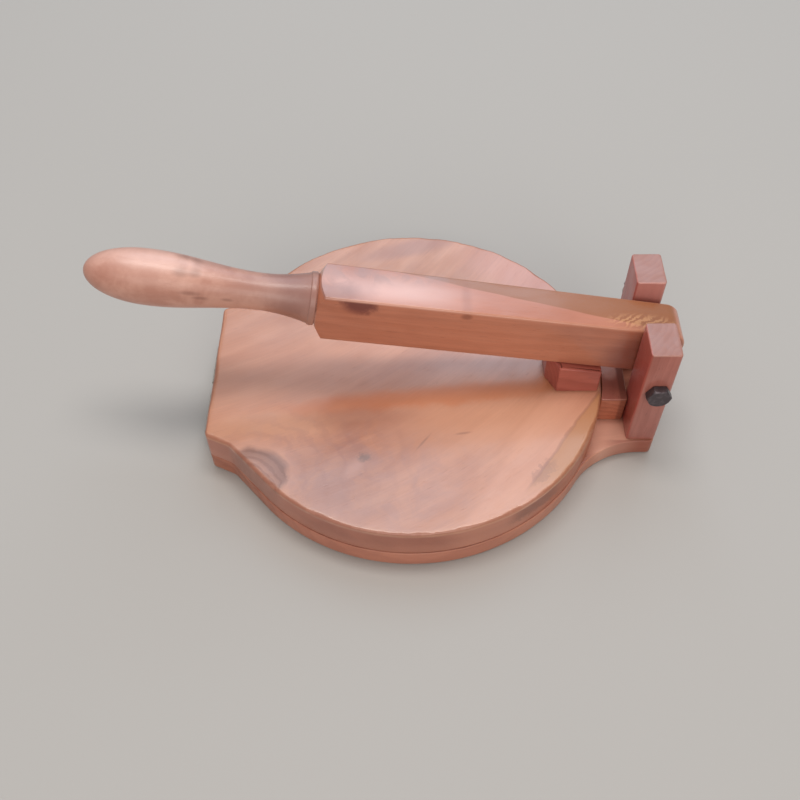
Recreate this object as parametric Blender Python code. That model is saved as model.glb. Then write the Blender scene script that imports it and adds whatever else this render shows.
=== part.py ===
"""Wooden roti press: two round boards hinged at the handle side, pressed by a lever on a bolt.

Metres, +Z up. The origin is the round base board's centre, on its underside. The lever's handle
points along -X, the tail with the two uprights along +X.
"""
import math

import bmesh
import bpy
from mathutils import Vector

for old_object in list(bpy.data.objects):
    bpy.data.objects.remove(old_object, do_unlink=True)

# Clearances
SEAT_GAP = 0.0003          # between wooden pieces that sit on each other
RUNNING_GAP = 0.0004       # beside the lever, between the uprights
BOLT_CLEARANCE = 0.0003    # around the bolt
SCREW_CLEARANCE = 0.0002   # around the wood screws
HINGE_CLEARANCE = 0.0003   # in the butt hinges

# Boards
BOARD_RADIUS = 0.1010      # 8 inch round board, at the rim
BASE_EXTRA_RADIUS = 0.0005  # the base shows just beyond the plate
BASE_THICKNESS = 0.0108
PLATE_THICKNESS = 0.0178
PLATE_TOP_EASE = 0.0014
BASE_TOP_EASE = 0.0006
BASE_BOTTOM_EASE = 0.0010
PLATE_BOTTOM_EASE = 0.0004
TAB_REACH = 0.0043         # the tab's front stands this far beyond the rim
TAB_FRONT_HALF_WIDTH = 0.0432
TAB_FLANK_LENGTH = 0.0128
TAB_FLARE = 0.0058         # the tab is this much wider on each side at its waist
TAB_CORNER_RADIUS = 0.0032
TAB_WAIST_RADIUS = 0.0080
TAIL_MARGIN = 0.0012       # beside the uprights
TAIL_CORNER_RADIUS = 0.0032
NECK_RADIUS = 0.0420

# Uprights. Their rear faces are flush with the tail's end
UPRIGHT_DEPTH = 0.0150
UPRIGHT_WIDTH = 0.0210
UPRIGHT_HEIGHT = 0.0684
UPRIGHT_CORNER_RADIUS = 0.0016
UPRIGHT_TOP_EASE = 0.0005
UPRIGHT_FOOT_EASE = 0.00025

# Lever. It lies against the near upright, and its far side is planed to a taper
LEVER_INCLINE = math.radians(9.0)
LEVER_FRONT_WIDTH = 0.0240
LEVER_REAR_WIDTH = 0.0210
LEVER_FAR_PLAY = 0.0048    # free room to the far upright
LEVER_HEIGHT = 0.0302
LEVER_RAISE = 0.0048       # centre line above the bolt's axis
LEVER_REAR_REACH = 0.0130
LEVER_TOP_REAR_RADIUS = 0.0095
LEVER_LOW_REAR_RADIUS = 0.0060
LEVER_EDGE = 0.0014
BAR_LENGTH = 0.1664        # from the bolt to where the square section ends
SHOULDER_LENGTH = 0.0045
SHOULDER_START_RADIUS = 0.0196
SHOULDER_END_RADIUS = 0.0126
SHOULDER_SLOPE = 1.238     # how fast the cone widens into the square section
RING_GROOVE = 0.0002
RING_GROOVE_DEPTH = 0.0004
RING_WIDTH = 0.0033
RING_RADIUS = 0.0132
RING_EDGE = 0.0006
COVE_LENGTH = 0.0236
COVE_POWER = 1.9           # how soon the cove reaches the neck
HANDLE_NECK_RADIUS = 0.0091
HANDLE_RISE_LENGTH = 0.0520
HANDLE_SWELL_RADIUS = 0.0135
HANDLE_NOSE_LENGTH = 0.0313
HANDLE_NOSE_POWER = 2.2    # 2 is an ellipse, more is blunter
HANDLE_AXIS_Y = -0.0006
HANDLE_AXIS_RAISE = 0.0010  # above the bar's centre line where the handle begins
HANDLE_TILT = math.radians(2.1)

# Pivot bolt, quarter inch, with its washer and nut
PIVOT_SETBACK = 0.0085     # behind the uprights' front faces
PIVOT_HEIGHT = 0.0402      # above the uprights' feet
BOLT_RADIUS = 0.003175
BOLT_PROJECTION = 0.0004   # beyond the nut
BOLT_END_CHAMFER = 0.0008
HEX_ACROSS_FLATS = 0.0111
HEX_CHAMFER = 0.0008
BOLT_HEAD_HEIGHT = 0.0041
NUT_HEIGHT = 0.0055
WASHER_RADIUS = 0.0080
WASHER_THICKNESS = 0.0012

# Press block, set in a little from the plate's rim
PRESS_INSET = 0.0035
PRESS_LENGTH = 0.0217      # its straight part
PRESS_NOSE_LENGTH = 0.0054
PRESS_HALF_WIDTH = 0.0160
PRESS_NOSE_HALF_WIDTH = 0.0060
PRESS_TO_LEVER = 0.0004
PRESS_EDGE = 0.0004
PRESS_CORNER_RADIUS = 0.0010

# Stop block, between the plate's rim and the uprights
STOP_DEPTH = 0.0115
STOP_HALF_WIDTH = 0.0212
STOP_HEIGHT = 0.0174
STOP_EDGE = 0.0009
STOP_FOOT_EDGE = 0.0003
STOP_CORNER_RADIUS = 0.0012

# Wood screws that hold the uprights and the stop block, driven from below
SCREW_HEAD_RADIUS = 0.0038
SCREW_HEAD_DEPTH = 0.0028
SCREW_HEAD_RIM = 0.0002
SCREW_SHANK_RADIUS = 0.0019
SCREW_POINT_RADIUS = 0.0003
SCREW_LENGTH = 0.0300
STOP_SCREW_LENGTH = 0.0220
SCREW_TIP = 0.0035
SCREW_SINK = 0.0006        # heads lie this far inside the underside
UPRIGHT_SCREW_SPREAD = 0.0120
STOP_SCREW_SPREAD = 0.0240
SLOT_HALF_WIDTH = 0.12     # of the head's radius
SLOT_DEPTH = 0.22          # of the head's radius

# Butt hinges on the boards' front faces
HINGE_Y = 0.0165
HINGE_LENGTH = 0.0250
HINGE_LEAF_MARGIN = 0.00135  # from the leaf's edge to the base board's underside
HINGE_LEAF_THICKNESS = 0.0012
HINGE_BARREL_RADIUS = 0.0022
HINGE_PIN_RADIUS = 0.0010
HINGE_PIN_OVERHANG = 0.0006
HINGE_PIN_CHAMFER = 0.0002
HINGE_MIDDLE_KNUCKLE = 0.0083
LEAF_SCREW_SPREAD = 0.0150
LEAF_SCREW_MARGIN = 0.0032  # from the leaf's edge
LEAF_SCREW_HEAD_RADIUS = 0.0022
LEAF_SCREW_HEAD_DEPTH = 0.0011
LEAF_SCREW_SHANK_RADIUS = 0.0011
LEAF_SCREW_LENGTH = 0.0110
LEAF_SCREW_TIP = 0.0018

# Levels and places that follow from the sizes above
BASE_RADIUS = BOARD_RADIUS + BASE_EXTRA_RADIUS
PLATE_BOTTOM_Z = BASE_THICKNESS + SEAT_GAP
PLATE_TOP_Z = PLATE_BOTTOM_Z + PLATE_THICKNESS
SEAT_Z = BASE_THICKNESS + SEAT_GAP
TAB_FRONT_X = -(BOARD_RADIUS + TAB_REACH)
TAB_WAIST_X = TAB_FRONT_X + TAB_FLANK_LENGTH
TAB_WAIST_HALF_WIDTH = TAB_FRONT_HALF_WIDTH + TAB_FLARE
STOP_FRONT_X = BOARD_RADIUS + SEAT_GAP
STOP_REAR_X = STOP_FRONT_X + STOP_DEPTH
UPRIGHT_FRONT_X = STOP_REAR_X + SEAT_GAP
TAIL_END_X = UPRIGHT_FRONT_X + UPRIGHT_DEPTH
UPRIGHT_INNER_Y = (RUNNING_GAP + LEVER_REAR_WIDTH + LEVER_FAR_PLAY) / 2
UPRIGHT_OUTER_Y = UPRIGHT_INNER_Y + UPRIGHT_WIDTH
UPRIGHT_TOP_Z = SEAT_Z + UPRIGHT_HEIGHT
UPRIGHT_MIDDLE_Y = (UPRIGHT_INNER_Y + UPRIGHT_OUTER_Y) / 2
UPRIGHT_MIDDLE_X = (UPRIGHT_FRONT_X + TAIL_END_X) / 2
TAIL_HALF_WIDTH = UPRIGHT_OUTER_Y + TAIL_MARGIN
PIVOT_X = UPRIGHT_FRONT_X + PIVOT_SETBACK
PIVOT_Z = SEAT_Z + PIVOT_HEIGHT
PRESS_REAR_X = BOARD_RADIUS - PRESS_INSET
PRESS_SHOULDER_X = PRESS_REAR_X - PRESS_LENGTH
PRESS_NOSE_X = PRESS_SHOULDER_X - PRESS_NOSE_LENGTH
LEVER_NEAR_Y = -UPRIGHT_INNER_Y + RUNNING_GAP
SHOULDER_END = BAR_LENGTH + SHOULDER_LENGTH
RING_START = SHOULDER_END + RING_GROOVE
RING_END = RING_START + RING_WIDTH
NECK_AT = RING_END + COVE_LENGTH
SWELL_AT = NECK_AT + HANDLE_RISE_LENGTH
NUT_START_Y = UPRIGHT_OUTER_Y + SEAT_GAP + WASHER_THICKNESS + SEAT_GAP
BOLT_END_Y = NUT_START_Y + NUT_HEIGHT + BOLT_PROJECTION
HINGE_AXIS_X = TAB_FRONT_X - SEAT_GAP - HINGE_BARREL_RADIUS
HINGE_AXIS_Z = BASE_THICKNESS + SEAT_GAP / 2
HINGE_LEAF_REACH = HINGE_AXIS_Z - HINGE_LEAF_MARGIN
LEAF_SCREW_REACH = HINGE_LEAF_REACH - LEAF_SCREW_MARGIN

# Fineness of the round forms
ARC_STEPS = 5
NECK_STEPS = 10
SIDE_STEPS = 36
RIM_STEPS = 90
HANDLE_STEPS = 8
NOSE_STEPS = 10
ROUND_SEGMENTS = 32
BARREL_SEGMENTS = 24
HEX_SEGMENTS = 24
SCREW_SEGMENTS = 16
LEAF_SCREW_SEGMENTS = 12
SHARP_ANGLE = math.radians(35)
CUTTER_REACH = 0.0020      # how far a cutter stands out of the wall that it cuts
JOIN_OVERLAP = 0.0010      # how far two shapes of one piece reach into each other


def material(name, colour, roughness, metallic=0.0):
    """A Principled material in one colour."""
    made = bpy.data.materials.new(name)
    made.use_nodes = True
    shader = made.node_tree.nodes["Principled BSDF"]
    shader.inputs["Base Color"].default_value = (*colour, 1.0)
    shader.inputs["Roughness"].default_value = roughness
    shader.inputs["Metallic"].default_value = metallic
    return made


def finish(name, bm, place, parent=None, surface=None):
    """Turn bm, drawn around place, into an object whose origin is at place."""
    bmesh.ops.remove_doubles(bm, verts=bm.verts, dist=1e-6)
    bmesh.ops.recalc_face_normals(bm, faces=bm.faces)
    mesh = bpy.data.meshes.new(name)
    bm.to_mesh(mesh)
    bm.free()
    mesh.shade_smooth()
    mesh.set_sharp_from_angle(angle=SHARP_ANGLE)
    made = bpy.data.objects.new(name, mesh)
    bpy.context.scene.collection.objects.link(made)
    made.location = Vector(place)
    if parent:
        made.parent = parent
        made.location = Vector(place) - parent.location
    if surface:
        mesh.materials.append(surface)
    return made


def as_cutter(made):
    """Hide a shape that only shapes another object."""
    made.hide_render = True
    made.display_type = "WIRE"
    return made


def boolean(target, tool, operation):
    """Combine target with tool."""
    step = target.modifiers.new(operation.title(), "BOOLEAN")
    step.operation = operation
    step.solver = "EXACT"
    step.object = tool


def empty(name, place):
    """An empty that marks an axis and carries what turns on it."""
    made = bpy.data.objects.new(name, None)
    made.location = Vector(place)
    bpy.context.scene.collection.objects.link(made)
    return made


def stack(bm, rings):
    """Skin a closed solid over rings of equal length, from the first to the last."""
    loops = []
    for ring in rings:
        loops.append([bm.verts.new(point) for point in ring])
    count = len(loops[0])
    for low, high in zip(loops, loops[1:]):
        for index in range(count):
            following = (index + 1) % count
            bm.faces.new((low[index], low[following], high[following], high[index]))
    bm.faces.new(list(reversed(loops[0])))
    bm.faces.new(loops[-1])


def turned(bm, profile, frame, segments=ROUND_SEGMENTS):
    """Skin a solid of revolution. profile holds (distance along, radius); frame maps it to space."""
    rings = []
    for along, radius in profile:
        ring = []
        for index in range(segments):
            angle = 2 * math.pi * index / segments
            ring.append(frame(along, radius * math.cos(angle), radius * math.sin(angle)))
        rings.append(ring)
    stack(bm, rings)


def tube(bm, start, end, outer, inner, frame, segments):
    """Skin a straight tube between two distances along an axis."""
    rings = []
    for along, radius in ((start, inner), (start, outer), (end, outer), (end, inner)):
        ring = []
        for index in range(segments):
            angle = 2 * math.pi * index / segments
            ring.append(bm.verts.new(frame(along, radius * math.cos(angle), radius * math.sin(angle))))
        rings.append(ring)
    for low, high in zip(rings, rings[1:] + rings[:1]):
        for index in range(segments):
            following = (index + 1) % segments
            bm.faces.new((low[index], low[following], high[following], high[index]))


def along_x(along, first, second):
    """Axis frame that runs along X."""
    return along, first, second


def along_y(along, first, second):
    """Axis frame that runs along Y."""
    return second, along, first


def along_z(along, first, second):
    """Axis frame that runs along Z."""
    return first, second, along


def arc(centre_x, centre_y, radius, start, end, steps):
    """Points on an arc between two angles in degrees."""
    points = []
    for index in range(steps + 1):
        angle = math.radians(start + (end - start) * index / steps)
        points.append((centre_x + radius * math.cos(angle), centre_y + radius * math.sin(angle)))
    return points


def corner_arc(before, here, after, radius, inset, steps=ARC_STEPS):
    """Round one corner of a counter-clockwise outline that is moved inwards by inset."""
    into = (Vector(here) - Vector(before)).normalized()
    out = (Vector(after) - Vector(here)).normalized()
    turn = math.atan2(into.x * out.y - into.y * out.x, into.dot(out))
    side = 1.0 if turn > 0 else -1.0
    start = Vector(here) - into * radius * math.tan(abs(turn) / 2)
    inward = Vector((-into.y, into.x))
    centre = start + inward * side * radius
    first = math.degrees(math.atan2(-inward.y * side, -inward.x * side))
    reach = radius - side * inset
    return arc(centre.x, centre.y, reach, first, first + math.degrees(turn), steps)


def rounded_outline(corners, inset):
    """Points of a closed counter-clockwise outline. corners holds (x, y, radius)."""
    points = []
    count = len(corners)
    for index, (x, y, radius) in enumerate(corners):
        before = corners[index - 1][:2]
        after = corners[(index + 1) % count][:2]
        points += corner_arc(before, (x, y), after, radius, inset)
    return points


def tab_outline(radius, inset):
    """The squared front tab, between the circle's points at 135 and 225 degrees."""
    touch = radius / math.sqrt(2)
    far_touch = (-touch, touch)
    far_waist = (TAB_WAIST_X, TAB_WAIST_HALF_WIDTH)
    far_front = (TAB_FRONT_X, TAB_FRONT_HALF_WIDTH)
    near_front = (TAB_FRONT_X, -TAB_FRONT_HALF_WIDTH)
    near_waist = (TAB_WAIST_X, -TAB_WAIST_HALF_WIDTH)
    near_touch = (-touch, -touch)
    points = corner_arc(far_touch, far_waist, far_front, TAB_WAIST_RADIUS, inset)
    points += corner_arc(far_waist, far_front, near_front, TAB_CORNER_RADIUS, inset)
    points += corner_arc(far_front, near_front, near_waist, TAB_CORNER_RADIUS, inset)
    points += corner_arc(near_front, near_waist, near_touch, TAB_WAIST_RADIUS, inset)
    return points


def plate_outline(inset):
    """Plan of the top plate, counter-clockwise."""
    round_part = arc(0, 0, BOARD_RADIUS - inset, 225, 495, RIM_STEPS)
    return round_part + tab_outline(BOARD_RADIUS, inset)


def base_outline(inset):
    """Plan of the base board with its tail, counter-clockwise."""
    neck_y = TAIL_HALF_WIDTH + NECK_RADIUS
    neck_x = math.sqrt((BASE_RADIUS + NECK_RADIUS) ** 2 - neck_y ** 2)
    touch = math.degrees(math.atan2(neck_y, neck_x))
    neck_arc = NECK_RADIUS + inset
    near_corner = (TAIL_END_X, -TAIL_HALF_WIDTH)
    far_corner = (TAIL_END_X, TAIL_HALF_WIDTH)
    points = arc(0, 0, BASE_RADIUS - inset, 225, 360 - touch, SIDE_STEPS)
    points += arc(neck_x, -neck_y, neck_arc, 180 - touch, 90, NECK_STEPS)[1:]
    points += corner_arc((neck_x, -TAIL_HALF_WIDTH), near_corner, far_corner, TAIL_CORNER_RADIUS, inset)
    points += corner_arc(near_corner, far_corner, (neck_x, TAIL_HALF_WIDTH), TAIL_CORNER_RADIUS, inset)
    points += arc(neck_x, neck_y, neck_arc, -90, touch - 180, NECK_STEPS)
    points += arc(0, 0, BASE_RADIUS - inset, touch, 135, SIDE_STEPS)[1:]
    return points + tab_outline(BASE_RADIUS, inset)


def eased_levels(low, high, low_ease, high_ease, steps=3):
    """(inset, level) pairs up a slab whose lower and upper edges are rounded over."""
    levels = []
    for index in range(steps + 1):
        angle = math.pi / 2 * index / steps
        levels.append((low_ease * (1 - math.sin(angle)), low + low_ease * (1 - math.cos(angle))))
    for index in range(steps + 1):
        angle = math.pi / 2 * index / steps
        levels.append((high_ease * (1 - math.cos(angle)), high - high_ease * (1 - math.sin(angle))))
    return levels


def slab(bm, outline, levels, place=(0, 0, 0)):
    """A slab with the plan outline(inset), drawn around place."""
    rings = []
    for inset, level in levels:
        ring = []
        for x, y in outline(inset):
            ring.append((x - place[0], y - place[1], level - place[2]))
        rings.append(ring)
    stack(bm, rings)


def box(bm, low, high):
    """A plain box between two corners."""
    plan = [(low[0], low[1]), (high[0], low[1]), (high[0], high[1]), (low[0], high[1])]
    stack(bm, [[(x, y, low[2]) for x, y in plan], [(x, y, high[2]) for x, y in plan]])


def screw_profile(length, head_radius, head_depth, shank_radius, tip, grow=0.0):
    """Countersunk wood screw along its axis, from the head's face to the tip; grow makes its hole."""
    head_start = -CUTTER_REACH if grow else 0.0
    return [(head_start, head_radius + grow), (SCREW_HEAD_RIM, head_radius + grow),
            (head_depth + grow, shank_radius + grow), (length - tip, shank_radius + grow),
            (length + grow, SCREW_POINT_RADIUS + grow)]


def add_slot(screw, frame, head_radius):
    """Cut the driver slot across a screw's head."""
    bm = bmesh.new()
    half = head_radius + CUTTER_REACH
    width = head_radius * SLOT_HALF_WIDTH
    depth = head_radius * SLOT_DEPTH
    rings = []
    for along in (-CUTTER_REACH, depth):
        plan = ((-half, -width), (half, -width), (half, width), (-half, width))
        rings.append([frame(along, first, second) for first, second in plan])
    stack(bm, rings)
    place = screw.location.copy()
    if screw.parent:
        place += screw.parent.location
    slot = as_cutter(finish(screw.name + "_slot", bm, place, screw.parent))
    boolean(screw, slot, "DIFFERENCE")


# Places of everything that is screwed
upright_screw_places = []
for side in (-1, 1):
    for shift in (-1, 1):
        offset = shift * UPRIGHT_SCREW_SPREAD / 2
        upright_screw_places.append((UPRIGHT_MIDDLE_X, side * UPRIGHT_MIDDLE_Y + offset, SCREW_SINK))
stop_screw_places = []
for shift in (-1, 1):
    middle_x = (STOP_FRONT_X + STOP_REAR_X) / 2
    stop_screw_places.append((middle_x, shift * STOP_SCREW_SPREAD / 2, SCREW_SINK))
leaf_back_x = TAB_FRONT_X - SEAT_GAP
leaf_face_x = leaf_back_x - HINGE_LEAF_THICKNESS
base_leaf_screw_places = []
plate_leaf_screw_places = []
for side in (-1, 1):
    for shift in (-1, 1):
        y = side * HINGE_Y + shift * LEAF_SCREW_SPREAD / 2
        base_leaf_screw_places.append((leaf_face_x, y, HINGE_AXIS_Z - LEAF_SCREW_REACH))
        plate_leaf_screw_places.append((leaf_face_x, y, HINGE_AXIS_Z + LEAF_SCREW_REACH))


def cut_screw_holes(bm, places, frame, sizes, segments, place=(0, 0, 0)):
    """Draw the holes of all screws at places into one cutter."""
    profile = screw_profile(*sizes, grow=SCREW_CLEARANCE)
    for spot in places:
        def moved(along, first, second, spot=spot):
            point = frame(along, first, second)
            return [point[axis] + spot[axis] - place[axis] for axis in range(3)]
        turned(bm, profile, moved, segments)


UPRIGHT_SCREW = (SCREW_LENGTH, SCREW_HEAD_RADIUS, SCREW_HEAD_DEPTH, SCREW_SHANK_RADIUS, SCREW_TIP)
STOP_SCREW = (STOP_SCREW_LENGTH, SCREW_HEAD_RADIUS, SCREW_HEAD_DEPTH, SCREW_SHANK_RADIUS, SCREW_TIP)
LEAF_SCREW = (LEAF_SCREW_LENGTH, LEAF_SCREW_HEAD_RADIUS, LEAF_SCREW_HEAD_DEPTH,
              LEAF_SCREW_SHANK_RADIUS, LEAF_SCREW_TIP)

# Axes of the two joints
plate_axis = empty("plate_hinge_axis", (HINGE_AXIS_X, 0, HINGE_AXIS_Z))
plate_place = tuple(plate_axis.location)
lever_axis = empty("arm_hinge_axis", (PIVOT_X, 0, PIVOT_Z))
lever_axis.rotation_euler = (0, LEVER_INCLINE, 0)

# Base board with its tail
bm = bmesh.new()
slab(bm, base_outline, eased_levels(0, BASE_THICKNESS, BASE_BOTTOM_EASE, BASE_TOP_EASE))
base_board = finish("base_board", bm, (0, 0, 0), None, material("base_wood", (0.36, 0.16, 0.09), 0.35))
bm = bmesh.new()
cut_screw_holes(bm, upright_screw_places, along_z, UPRIGHT_SCREW, SCREW_SEGMENTS)
cut_screw_holes(bm, stop_screw_places, along_z, STOP_SCREW, SCREW_SEGMENTS)
cut_screw_holes(bm, base_leaf_screw_places, along_x, LEAF_SCREW, LEAF_SCREW_SEGMENTS)
boolean(base_board, as_cutter(finish("base_board_holes", bm, (0, 0, 0))), "DIFFERENCE")

# Top plate
bm = bmesh.new()
plate_levels = eased_levels(PLATE_BOTTOM_Z, PLATE_TOP_Z, PLATE_BOTTOM_EASE, PLATE_TOP_EASE)
slab(bm, plate_outline, plate_levels, plate_place)
plate_wood = material("plate_wood", (0.60, 0.33, 0.25), 0.30)
top_plate = finish("top_plate", bm, plate_place, plate_axis, plate_wood)
bm = bmesh.new()
cut_screw_holes(bm, plate_leaf_screw_places, along_x, LEAF_SCREW, LEAF_SCREW_SEGMENTS, plate_place)
plate_holes = as_cutter(finish("top_plate_holes", bm, plate_place, plate_axis))
boolean(top_plate, plate_holes, "DIFFERENCE")

# Uprights on the tail
for side, suffix in ((-1, "near"), (1, "far")):
    place = (UPRIGHT_MIDDLE_X, side * UPRIGHT_MIDDLE_Y, SEAT_Z)
    half_x = (TAIL_END_X - UPRIGHT_FRONT_X) / 2
    half_y = (UPRIGHT_OUTER_Y - UPRIGHT_INNER_Y) / 2
    radius = UPRIGHT_CORNER_RADIUS
    corners = ((-half_x, -half_y, radius), (half_x, -half_y, radius),
               (half_x, half_y, radius), (-half_x, half_y, radius))
    bm = bmesh.new()
    slab(bm, lambda inset, corners=corners: rounded_outline(corners, inset),
         eased_levels(0, UPRIGHT_HEIGHT, UPRIGHT_FOOT_EASE, UPRIGHT_TOP_EASE, 2))
    upright = finish("upright_" + suffix, bm, place, None,
                     material("upright_wood_" + suffix, (0.33, 0.13, 0.10), 0.35))
    bm = bmesh.new()
    cut_screw_holes(bm, [spot for spot in upright_screw_places if spot[1] * side > 0], along_z,
                    UPRIGHT_SCREW, SCREW_SEGMENTS, place)
    reach = UPRIGHT_OUTER_Y - UPRIGHT_INNER_Y

    def bolt_way(along, first, second, place=place):
        return PIVOT_X - place[0] + first, along, PIVOT_Z - place[2] + second

    turned(bm, [(-reach, BOLT_RADIUS + BOLT_CLEARANCE), (reach, BOLT_RADIUS + BOLT_CLEARANCE)], bolt_way)
    boolean(upright, as_cutter(finish("upright_holes_" + suffix, bm, place)), "DIFFERENCE")

# Stop block behind the plate
stop_place = ((STOP_FRONT_X + STOP_REAR_X) / 2, 0, SEAT_Z)
radius = STOP_CORNER_RADIUS
stop_corners = ((-STOP_DEPTH / 2, -STOP_HALF_WIDTH, radius), (STOP_DEPTH / 2, -STOP_HALF_WIDTH, radius),
                (STOP_DEPTH / 2, STOP_HALF_WIDTH, radius), (-STOP_DEPTH / 2, STOP_HALF_WIDTH, radius))
bm = bmesh.new()
slab(bm, lambda inset: rounded_outline(stop_corners, inset),
     eased_levels(0, STOP_HEIGHT, STOP_FOOT_EDGE, STOP_EDGE, 2))
stop_block = finish("stop_block", bm, stop_place, None, material("stop_wood", (0.30, 0.10, 0.07), 0.35))
bm = bmesh.new()
cut_screw_holes(bm, stop_screw_places, along_z, STOP_SCREW, SCREW_SEGMENTS, stop_place)
boolean(stop_block, as_cutter(finish("stop_block_holes", bm, stop_place)), "DIFFERENCE")


def lever_underside(x):
    """Height of the lever's underside at rest."""
    drop = LEVER_HEIGHT / 2 - LEVER_RAISE
    foot_x = PIVOT_X - drop * math.sin(LEVER_INCLINE)
    foot_z = PIVOT_Z - drop * math.cos(LEVER_INCLINE)
    return foot_z + (foot_x - x) * math.tan(LEVER_INCLINE)


# Press block on the plate's rear edge, its top cut to the lever's slope
radius = PRESS_CORNER_RADIUS
near_corners = [(PRESS_NOSE_X, -PRESS_NOSE_HALF_WIDTH, radius), (PRESS_SHOULDER_X, -PRESS_HALF_WIDTH, radius),
                (PRESS_REAR_X, -PRESS_HALF_WIDTH, radius)]
press_corners = near_corners + [(x, -y, radius) for x, y, radius in reversed(near_corners)]
bm = bmesh.new()
press_rings = []
for inset, share, drop in ((PRESS_EDGE, 0, 0), (0, 0, -PRESS_EDGE), (0, 1, PRESS_EDGE), (PRESS_EDGE, 1, 0)):
    ring = []
    for x, y in rounded_outline(press_corners, inset):
        foot = PLATE_TOP_Z + SEAT_GAP
        top = lever_underside(x) - PRESS_TO_LEVER
        z = foot + (top - foot) * share - drop
        ring.append((x - plate_place[0], y - plate_place[1], z - plate_place[2]))
    press_rings.append(ring)
stack(bm, press_rings)
finish("press_block", bm, plate_place, plate_axis, material("press_wood", (0.27, 0.08, 0.05), 0.35))

# Lever: bar and turned handle from one piece of wood, drawn around the bolt's axis
low_z = LEVER_RAISE - LEVER_HEIGHT / 2
high_z = LEVER_RAISE + LEVER_HEIGHT / 2
blank_front_x = -(SHOULDER_END + LEVER_EDGE + CUTTER_REACH)
bar_corners = ((blank_front_x, low_z, LEVER_EDGE), (LEVER_REAR_REACH, low_z, LEVER_LOW_REAR_RADIUS),
               (LEVER_REAR_REACH, high_z, LEVER_TOP_REAR_RADIUS), (blank_front_x, high_z, LEVER_EDGE))
bm = bmesh.new()


def lever_far_y(x):
    """The tapered far side of the bar; x is negative towards the handle."""
    share = min(max(-x / BAR_LENGTH, 0.0), 1.0)
    return LEVER_NEAR_Y + LEVER_REAR_WIDTH + (LEVER_FRONT_WIDTH - LEVER_REAR_WIDTH) * share


bar_rings = []
bar_levels = eased_levels(0, 2 * LEVER_EDGE, LEVER_EDGE, LEVER_EDGE)
for number, (inset, depth) in enumerate(bar_levels):
    ring = []
    for x, z in rounded_outline(bar_corners, inset):
        if number < len(bar_levels) / 2:
            y = LEVER_NEAR_Y + depth
        else:
            y = lever_far_y(x) + depth - 2 * LEVER_EDGE
        ring.append((x, y, z))
    bar_rings.append(ring)
stack(bm, bar_rings)
lever_arm = finish("lever_arm", bm, (0, 0, 0), None, material("lever_wood", (0.42, 0.18, 0.10), 0.30))
lever_arm.parent = lever_axis


def lever_line(along, first, second):
    """Axis frame along the bar's centre line, towards the handle."""
    return -along, HANDLE_AXIS_Y + first, LEVER_RAISE + second


def handle_line(along, first, second):
    """Axis frame along the handle, which leans up a little from the bar."""
    reach = along - SHOULDER_END
    outward = reach * math.cos(HANDLE_TILT) - second * math.sin(HANDLE_TILT)
    upward = reach * math.sin(HANDLE_TILT) + second * math.cos(HANDLE_TILT)
    return -SHOULDER_END - outward, HANDLE_AXIS_Y + first, LEVER_RAISE + HANDLE_AXIS_RAISE + upward


# The square end turned down in a cone
bm = bmesh.new()
outside = LEVER_HEIGHT / 2 + LEVER_FRONT_WIDTH
cone_start = BAR_LENGTH - (outside - SHOULDER_START_RADIUS) / SHOULDER_SLOPE
turned(bm, [(-LEVER_REAR_REACH - CUTTER_REACH, outside), (cone_start, outside),
            (BAR_LENGTH, SHOULDER_START_RADIUS), (SHOULDER_END, SHOULDER_END_RADIUS)], lever_line)
shoulder = as_cutter(finish("lever_shoulder_guide", bm, (0, 0, 0)))
shoulder.parent = lever_axis
boolean(lever_arm, shoulder, "INTERSECT")

# The ring and the handle
groove_radius = SHOULDER_END_RADIUS - RING_GROOVE_DEPTH
handle_profile = [(SHOULDER_END - JOIN_OVERLAP, groove_radius), (RING_START, groove_radius),
                  (RING_START + RING_EDGE / 6, RING_RADIUS - RING_EDGE),
                  (RING_START + RING_EDGE, RING_RADIUS),
                  (RING_END - RING_EDGE, RING_RADIUS), (RING_END, RING_RADIUS - RING_EDGE)]
for index in range(1, HANDLE_STEPS + 1):
    share = index / HANDLE_STEPS
    rise = (RING_RADIUS - RING_EDGE - HANDLE_NECK_RADIUS) * (1 - share) ** COVE_POWER
    handle_profile.append((RING_END + COVE_LENGTH * share, HANDLE_NECK_RADIUS + rise))
for index in range(1, HANDLE_STEPS + 1):
    share = index / HANDLE_STEPS
    rise = (HANDLE_SWELL_RADIUS - HANDLE_NECK_RADIUS) * (1 - math.cos(math.pi * share)) / 2
    handle_profile.append((NECK_AT + HANDLE_RISE_LENGTH * share, HANDLE_NECK_RADIUS + rise))
# The nose stops just short of its point, so that its end is a small flat disc
last_turn = math.pi / 2 * NOSE_STEPS / (NOSE_STEPS + 0.35)
for index in range(1, NOSE_STEPS + 1):
    share = math.sin(last_turn * index / NOSE_STEPS)
    radius = HANDLE_SWELL_RADIUS * math.sqrt(1 - share ** HANDLE_NOSE_POWER)
    handle_profile.append((SWELL_AT + HANDLE_NOSE_LENGTH * share, radius))
bm = bmesh.new()
turned(bm, handle_profile, handle_line)
grip = as_cutter(finish("lever_grip_guide", bm, (0, 0, 0)))
grip.parent = lever_axis
boolean(lever_arm, grip, "UNION")

# The bolt hole through the lever
bm = bmesh.new()
hole_radius = BOLT_RADIUS + BOLT_CLEARANCE
turned(bm, [(-LEVER_FRONT_WIDTH, hole_radius), (LEVER_FRONT_WIDTH, hole_radius)], along_y)
lever_hole = as_cutter(finish("lever_hole", bm, (0, 0, 0)))
lever_hole.parent = lever_axis
boolean(lever_arm, lever_hole, "DIFFERENCE")

# Pivot bolt: head on the near side, nut and washer on the far side
steel_black = material("bolt_steel", (0.06, 0.055, 0.055), 0.45, 0.8)


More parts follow.
